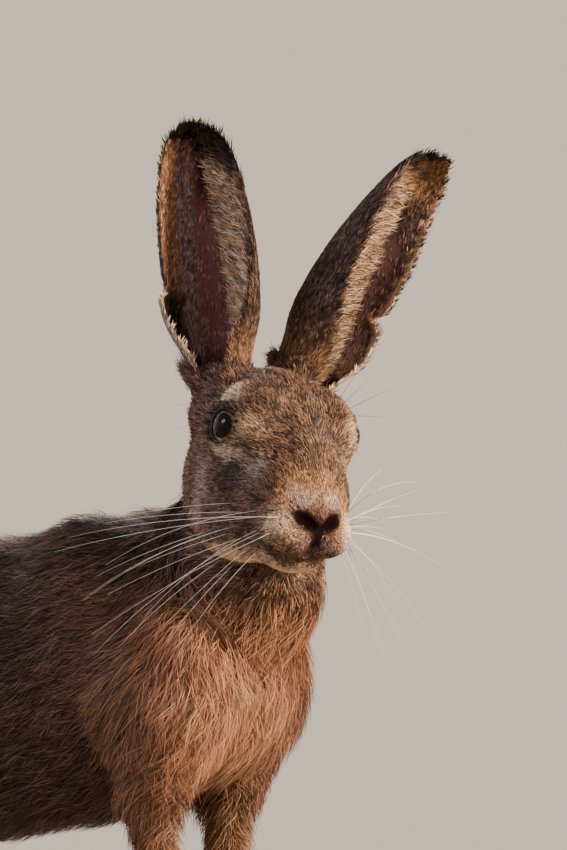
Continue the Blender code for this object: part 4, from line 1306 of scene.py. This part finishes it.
def tube(middles, radii, sides, flat=1.0, ring=False):
    """The points and triangles of a tapering tube, either a closed ring or capped at both ends."""
    middles = np.asarray(middles, float)
    radii = np.broadcast_to(np.asarray(radii, float), len(middles))
    ways = np.roll(middles, -1, 0) - np.roll(middles, 1, 0) if ring else np.gradient(middles, axis=0)
    ways = unit(ways)
    first = unit(np.cross(ways, (0.21, 0.13, 0.97)))
    second = np.cross(ways, first)
    turns = 2 * math.pi * np.arange(sides) / sides
    around = first[:, None] * np.cos(turns)[:, None] * flat + second[:, None] * np.sin(turns)[:, None]
    points = (middles[:, None] + around * radii[:, None, None]).reshape(-1, 3)
    count = len(middles)
    rows = np.arange(count if ring else count - 1)
    here = rows[:, None] * sides + np.arange(sides)
    beside = rows[:, None] * sides + (np.arange(sides) + 1) % sides
    step = sides * count
    over, over_beside = (here + sides) % step, (beside + sides) % step
    faces = np.concatenate([np.stack([here, beside, over_beside], -1), np.stack([here, over_beside, over], -1)])
    faces = faces.reshape(-1, 3)
    if not ring:
        fan = np.array([(0, k + 1, k) for k in range(1, sides - 1)])
        faces = np.concatenate([faces, fan, fan[:, ::-1] + sides * (count - 1)])
    return points, faces


def joined(pieces):
    """Joins (points, triangles, colours) pieces into one set of arrays."""
    points, faces, colours = [], [], []
    total = 0
    for own_points, own_tris, own_colours in pieces:
        points.append(own_points)
        faces.append(own_tris + total)
        colours.append(np.broadcast_to(own_colours, own_points.shape))
        total += len(own_points)
    return np.concatenate(points), np.concatenate(faces), np.concatenate(colours)


def add_tubes(name, pieces, material):
    points, faces, colours = joined(pieces)
    mesh = mesh_from(name, points, faces)
    set_colour(mesh, "coat", colours)
    mesh.materials.append(material)
    obj = link(name, mesh)
    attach(obj, "root")
    return obj


def bent_line(stations, count):
    """A smooth line through four stations, as that many points."""
    stations = np.asarray(stations, float)
    places = np.linspace(0, 1, len(stations))
    steps = np.linspace(0, 1, count)
    columns = [np.polyval(np.polyfit(places, column, len(stations) - 1), steps) for column in stations.T]
    return np.stack(columns, -1)


# Whiskers. Each row: how many, height on the muzzle, and the fall of its way to each side.

WHISKER_ROWS = [
    (2, -27, 0.02, 0.55),
    (4, -31, -0.10, 0.25),
    (4, -34.5, -0.25, -0.12),
    (4, -38, -0.45, -0.55),
    (3, -41.5, -0.80, -1.1),
]
WHISKER_SIDES = 4
WHISKER_STEPS = 14
WHISKER_WIDE = 0.12
# Whiskers bend back past this distance to the hare's right.
WHISKER_REACH = 76
NEAR_LONG = (55, 104)
FAR_LONG = (38, 64)
BROW_HAIRS = 4


def head_surface(start, way):
    """Where a line in the head's own frame leaves the head, in the hare's frame."""
    reach = np.arange(0, 45, 0.25, dtype=np.float32)
    line = np.array(start, np.float32) + reach[:, None] * np.array(way, np.float32)
    first = int(np.argmax(head_field(line) > 0))
    return from_head(line[max(first - 6, 0)])


def whisker(root, way, length, droop, wide, colours, draw):
    """One whisker in the hare's frame, drooping along its length."""
    steps = np.linspace(0, 1, WHISKER_STEPS)[:, None]
    way = np.array(way, float) / np.linalg.norm(way)
    sag = np.array((0, 0, -1.0)) * droop
    middles = np.array(root) + way * steps * length + sag * steps**2 * length
    past = np.maximum(-WHISKER_REACH - middles[:, 0], 0)
    middles[:, 0] += 0.75 * past**2 / (past + 6)
    radii = wide * (1 - 0.75 * steps[:, 0])
    points, faces = tube(middles, radii, WHISKER_SIDES)
    base, tip = colours
    switch = draw.uniform(0.12, 0.4)
    share = np.repeat(smooth(steps[:, 0], switch - 0.08, switch + 0.08), WHISKER_SIDES)
    return points, faces, mixed(plain(base, len(points)), tip, share)


def add_whiskers():
    draw = np.random.default_rng(61)
    pieces = []
    for side in (1, -1):
        for count, height, near_fall, far_fall in WHISKER_ROWS:
            for number in range(count):
                share = (number + draw.uniform(0.2, 0.8)) / count
                root = head_surface((0, -39 + 15 * share, height + draw.uniform(-1, 1)), (side, 0, 0))
                if side > 0:
                    way = (1.0, -0.28 + 0.5 * share, far_fall + draw.uniform(-0.15, 0.15))
                    length = draw.uniform(*FAR_LONG)
                else:
                    way = (-0.27 + 0.12 * share, 1.0, near_fall + draw.uniform(-0.12, 0.12))
                    length = draw.uniform(*NEAR_LONG) * (1 - 0.25 * abs(near_fall))
                base = BLACK if draw.random() < 0.6 else WHITE
                droop = draw.uniform(0.05, 0.3)
                pieces.append(whisker(root, way, length, droop, WHISKER_WIDE, (base, WHITE), draw))
        for number in range(BROW_HAIRS):
            root = head_surface((side * 14, 2 - 3 * number, 8 - 2 * number), (side * 0.8, 0, 0.6))
            way = (0.8, -0.2, 0.9 - 0.3 * number) if side > 0 else (-0.25, 0.9, 0.5 - 0.25 * number)
            pieces.append(whisker(root, way, draw.uniform(20, 32), 0.06, 0.16, (BLACK, BLACK), draw))
    add_tubes("whiskers", pieces, WHISKER)


add_whiskers()


# The eyes: a dark amber iris round a wide pupil, in black lid rims with a pink front corner.

PUPIL = 5.0
IRIS = 8.4
CORNEA = 1.3
LID_RIM = 1.15
LID_STEPS = 72


def add_eye(name, side):
    look, long_axis, high_axis = (np.array(v) for v in eye_axes(side))
    mesh = bpy.data.meshes.new(name)
    bm = bmesh.new()
    bmesh.ops.create_uvsphere(bm, u_segments=96, v_segments=72, radius=1.0)
    bm.to_mesh(mesh)
    bm.free()
    ball = np.zeros(len(mesh.vertices) * 3, np.float32)
    mesh.vertices.foreach_get("co", ball)
    ball = ball.reshape(-1, 3)
    off_axis = EYE_RADIUS * np.hypot(ball[:, 0], ball[:, 1])
    front = ball[:, 2] > 0
    bulge = np.where(front, CORNEA * np.exp(-((off_axis / 6.5) ** 2)), 0)
    radius = EYE_RADIUS - 0.15 + bulge
    centre = np.array((side * EYE_AT[0], EYE_AT[1], EYE_AT[2]))
    local = centre + (ball @ np.stack([long_axis, high_axis, look])) * radius[:, None]
    mesh.vertices.foreach_set("co", to_frame(from_head(local)).ravel())
    angle = np.arctan2(ball[:, 1], ball[:, 0])
    fibre = 0.5 + 0.5 * np.sin(angle * 37 + 2 * np.sin(angle * 5))
    amber = np.array((0.20, 0.085, 0.028)) * (0.6 + 0.7 * fibre)[:, None]
    paint = mixed(amber.astype(np.float32), (0.02, 0.009, 0.004), smooth(off_axis, 7.2, IRIS))
    paint = mixed(paint, (0.0015, 0.0015, 0.002), smooth(off_axis, PUPIL + 0.7, PUPIL - 0.3))
    paint = mixed(paint, (0.01, 0.006, 0.005), np.maximum(smooth(off_axis, IRIS, IRIS + 0.5), ~front))
    set_colour(mesh, "coat", paint)
    mesh.materials.append(EYE)
    mesh.shade_smooth()
    eye = link(name + "_ball", mesh)
    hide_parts(name)
    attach(eye, "root")


def lid_line(side, grown, lift):
    """The edge of the lids, a little outside the opening and lifted off the ball."""
    look, long_axis, high_axis = (np.array(v) for v in eye_axes(side))
    turn = 2 * math.pi * np.arange(LID_STEPS) / LID_STEPS
    along = (EYE_OPENING[0] + grown) * np.cos(turn)
    high = (EYE_OPENING[1] + grown) * np.sin(turn)
    reach = EYE_RADIUS + lift
    out = np.sqrt(np.maximum(reach**2 - along**2 - high**2, 4.0))
    centre = np.array((side * EYE_AT[0], EYE_AT[1], EYE_AT[2]))
    return centre + along[:, None] * long_axis + high[:, None] * high_axis + out[:, None] * look


def add_lids():
    pieces = []
    for side in (1, -1):
        points, faces = tube(from_head(lid_line(side, 0.35, 0.7)), LID_RIM, 10, ring=True)
        pieces.append((points, faces, np.array(BLACK) * (1.4, 1.1, 1.1)))
        look, long_axis, high_axis = (np.array(v) for v in eye_axes(side))
        corner = lid_line(side, -0.5, 0.2)[0]
        line = bent_line([corner + high_axis * step for step in (-1.6, -0.5, 1.0, 2.0)], 8)
        swell = 0.25 + 0.55 * np.sin(np.linspace(0, math.pi, 8))
        points, faces = tube(from_head(line), swell, 8)
        pieces.append((points, faces, (0.30, 0.12, 0.10)))
    add_tubes("lid_rims", pieces, WET)


for side, word in ((1, "left"), (-1, "right")):
    add_eye("eye_" + word, side)
add_lids()


# The claws.

CLAW_RADIUS = 1.7
CLAW_LENGTH = 7.0


def add_claws():
    pieces = []
    feet = ((FORE_TOES, FORE_TOE_ROOT, FORE_TOE_RADIUS), (HIND_TOES, HIND_TOE_ROOT, HIND_TOE_RADIUS))
    for side in (1, -1):
        for toes, root, radius in feet:
            for toe in toes:
                x, y, z, _ = toe_stations(root, toe, radius)[1]
                front = y - radius
                stations = [
                    (side * x, y - 0.3 * radius, z + 0.6),
                    (side * x, front, z),
                    (side * x, front - 0.6 * CLAW_LENGTH, z - 1.4),
                    (side * x, front - CLAW_LENGTH, z - 3.2),
                ]
                middles = bent_line(stations, 12)
                share = np.linspace(0, 1, 12)
                points, faces = tube(middles, CLAW_RADIUS * (1 - 0.85 * share**1.5), 12, flat=0.75)
                tint = mixed(plain((0.06, 0.04, 0.03), len(points)), (0.20, 0.15, 0.11), np.repeat(share, 12))
                pieces.append((points, faces, tint))
    claws = add_tubes("claws", pieces, HORN)
    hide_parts(*[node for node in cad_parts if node.startswith("claw")])


add_claws()


# Floor, light and camera.

FLOOR_RADIUS = 15.0
SWEEP = [(15.0, 0.0), (17.0, 0.06), (20.0, 0.35), (23.0, 0.95), (26.0, 2.0), (28.5, 3.6), (30.5, 6.0), (32.0, 10.0), (32.5, 16.0)]


def add_round(name, profile, material):
    """A surface that turns a profile of (reach, height) pairs about the upright axis, in metres."""
    mesh = bpy.data.meshes.new(name)
    bm = bmesh.new()
    line = [bm.verts.new((reach, 0, height)) for reach, height in profile]
    edges = [bm.edges.new(pair) for pair in zip(line, line[1:])]
    bmesh.ops.spin(bm, geom=line + edges, axis=(0, 0, 1), cent=(0, 0, 0), steps=96, angle=2 * math.pi)
    bmesh.ops.remove_doubles(bm, verts=bm.verts, dist=0.0001)
    bmesh.ops.recalc_face_normals(bm, faces=bm.faces)
    bm.to_mesh(mesh)
    bm.free()
    mesh.shade_smooth()
    mesh.materials.append(material)
    obj = link(name, mesh)
    return obj


def add_floor():
    """A round floor, and a far sweep round it that lets the light through."""
    material, tree, shader = new_material("floor", 0.85)
    soft = object_noise(tree, 0.4, 2.0)
    tint = tree.nodes.new("ShaderNodeMix")
    tint.data_type = "RGBA"
    tint.inputs["A"].default_value = (0.25, 0.238, 0.212, 1)
    tint.inputs["B"].default_value = (0.265, 0.252, 0.225, 1)
    tree.links.new(soft.outputs["Fac"], tint.inputs["Factor"])
    tree.links.new(tint.outputs["Result"], shader.inputs["Base Color"])
    add_round("floor", [(0.0, 0.0), (1.0, 0.0), (4.0, 0.0), (FLOOR_RADIUS, 0.0)], material)
    sweep = add_round("sweep", SWEEP, material)
    sweep.visible_shadow = False


def add_sun(name, azimuth, elevation, spread, strength, colour):
    data = bpy.data.lights.new(name, "SUN")
    data.angle = math.radians(spread)
    data.energy = strength
    data.color = colour
    light = bpy.data.objects.new(name, data)
    bpy.context.scene.collection.objects.link(light)
    a, e = math.radians(azimuth), math.radians(elevation)
    back = Vector((math.sin(a) * math.cos(e), -math.cos(a) * math.cos(e), math.sin(e)))
    light.location = back * 3
    light.rotation_euler = (-back).to_track_quat("-Z", "Y").to_euler()


def add_lights():
    world = bpy.data.worlds.new("studio")
    bpy.context.scene.world = world
    world.use_nodes = True
    sky = world.node_tree.nodes["Background"]
    sky.inputs["Color"].default_value = (0.88, 0.92, 1.0, 1)
    sky.inputs["Strength"].default_value = 0.55
    add_sun("key", 15, 20, 14, 13.5, (1.0, 0.80, 0.62))
    add_sun("fill", -125, 35, 25, 2.0, (0.66, 0.72, 1.0))
    add_sun("back", 110, 35, 25, 2.2, (1.0, 0.86, 0.70))


PHOTO_AZIMUTH = -60.0
PHOTO_ELEVATION = 1.5
PHOTO_DISTANCE = 6.1
PHOTO_LENS = 610.0
# Picture pixels to a metre, the pixel column of the hare's own middle and the pixel row of the floor.
PIXELS = 2400.0
MIDDLE_COLUMN = 130.0
FLOOR_ROW = 1126.0
PHOTO_SIZE = (567, 850)
HEAD_NEARER = 0.0756


def add_camera():
    data = bpy.data.cameras.new("camera")
    data.lens = PHOTO_LENS
    data.clip_end = 200
    camera = bpy.data.objects.new("camera", data)
    bpy.context.scene.collection.objects.link(camera)
    bpy.context.scene.camera = camera
    a, e = math.radians(PHOTO_AZIMUTH), math.radians(PHOTO_ELEVATION)
    back = Vector((math.sin(a) * math.cos(e), -math.cos(a) * math.cos(e), math.sin(e)))
    right = Vector((math.cos(a), math.sin(a), 0))
    nearer = Vector((math.sin(a), -math.cos(a), 0))
    target = right * ((PHOTO_SIZE[0] / 2 - MIDDLE_COLUMN) / PIXELS) + nearer * HEAD_NEARER
    target += Vector((0, 0, (FLOOR_ROW - PHOTO_SIZE[1] / 2) / PIXELS)) - Vector(MIDDLE) * MM
    camera.location = target + back * PHOTO_DISTANCE
    camera.rotation_euler = (-back).to_track_quat("-Z", "Y").to_euler()


add_floor()
add_lights()
add_camera()
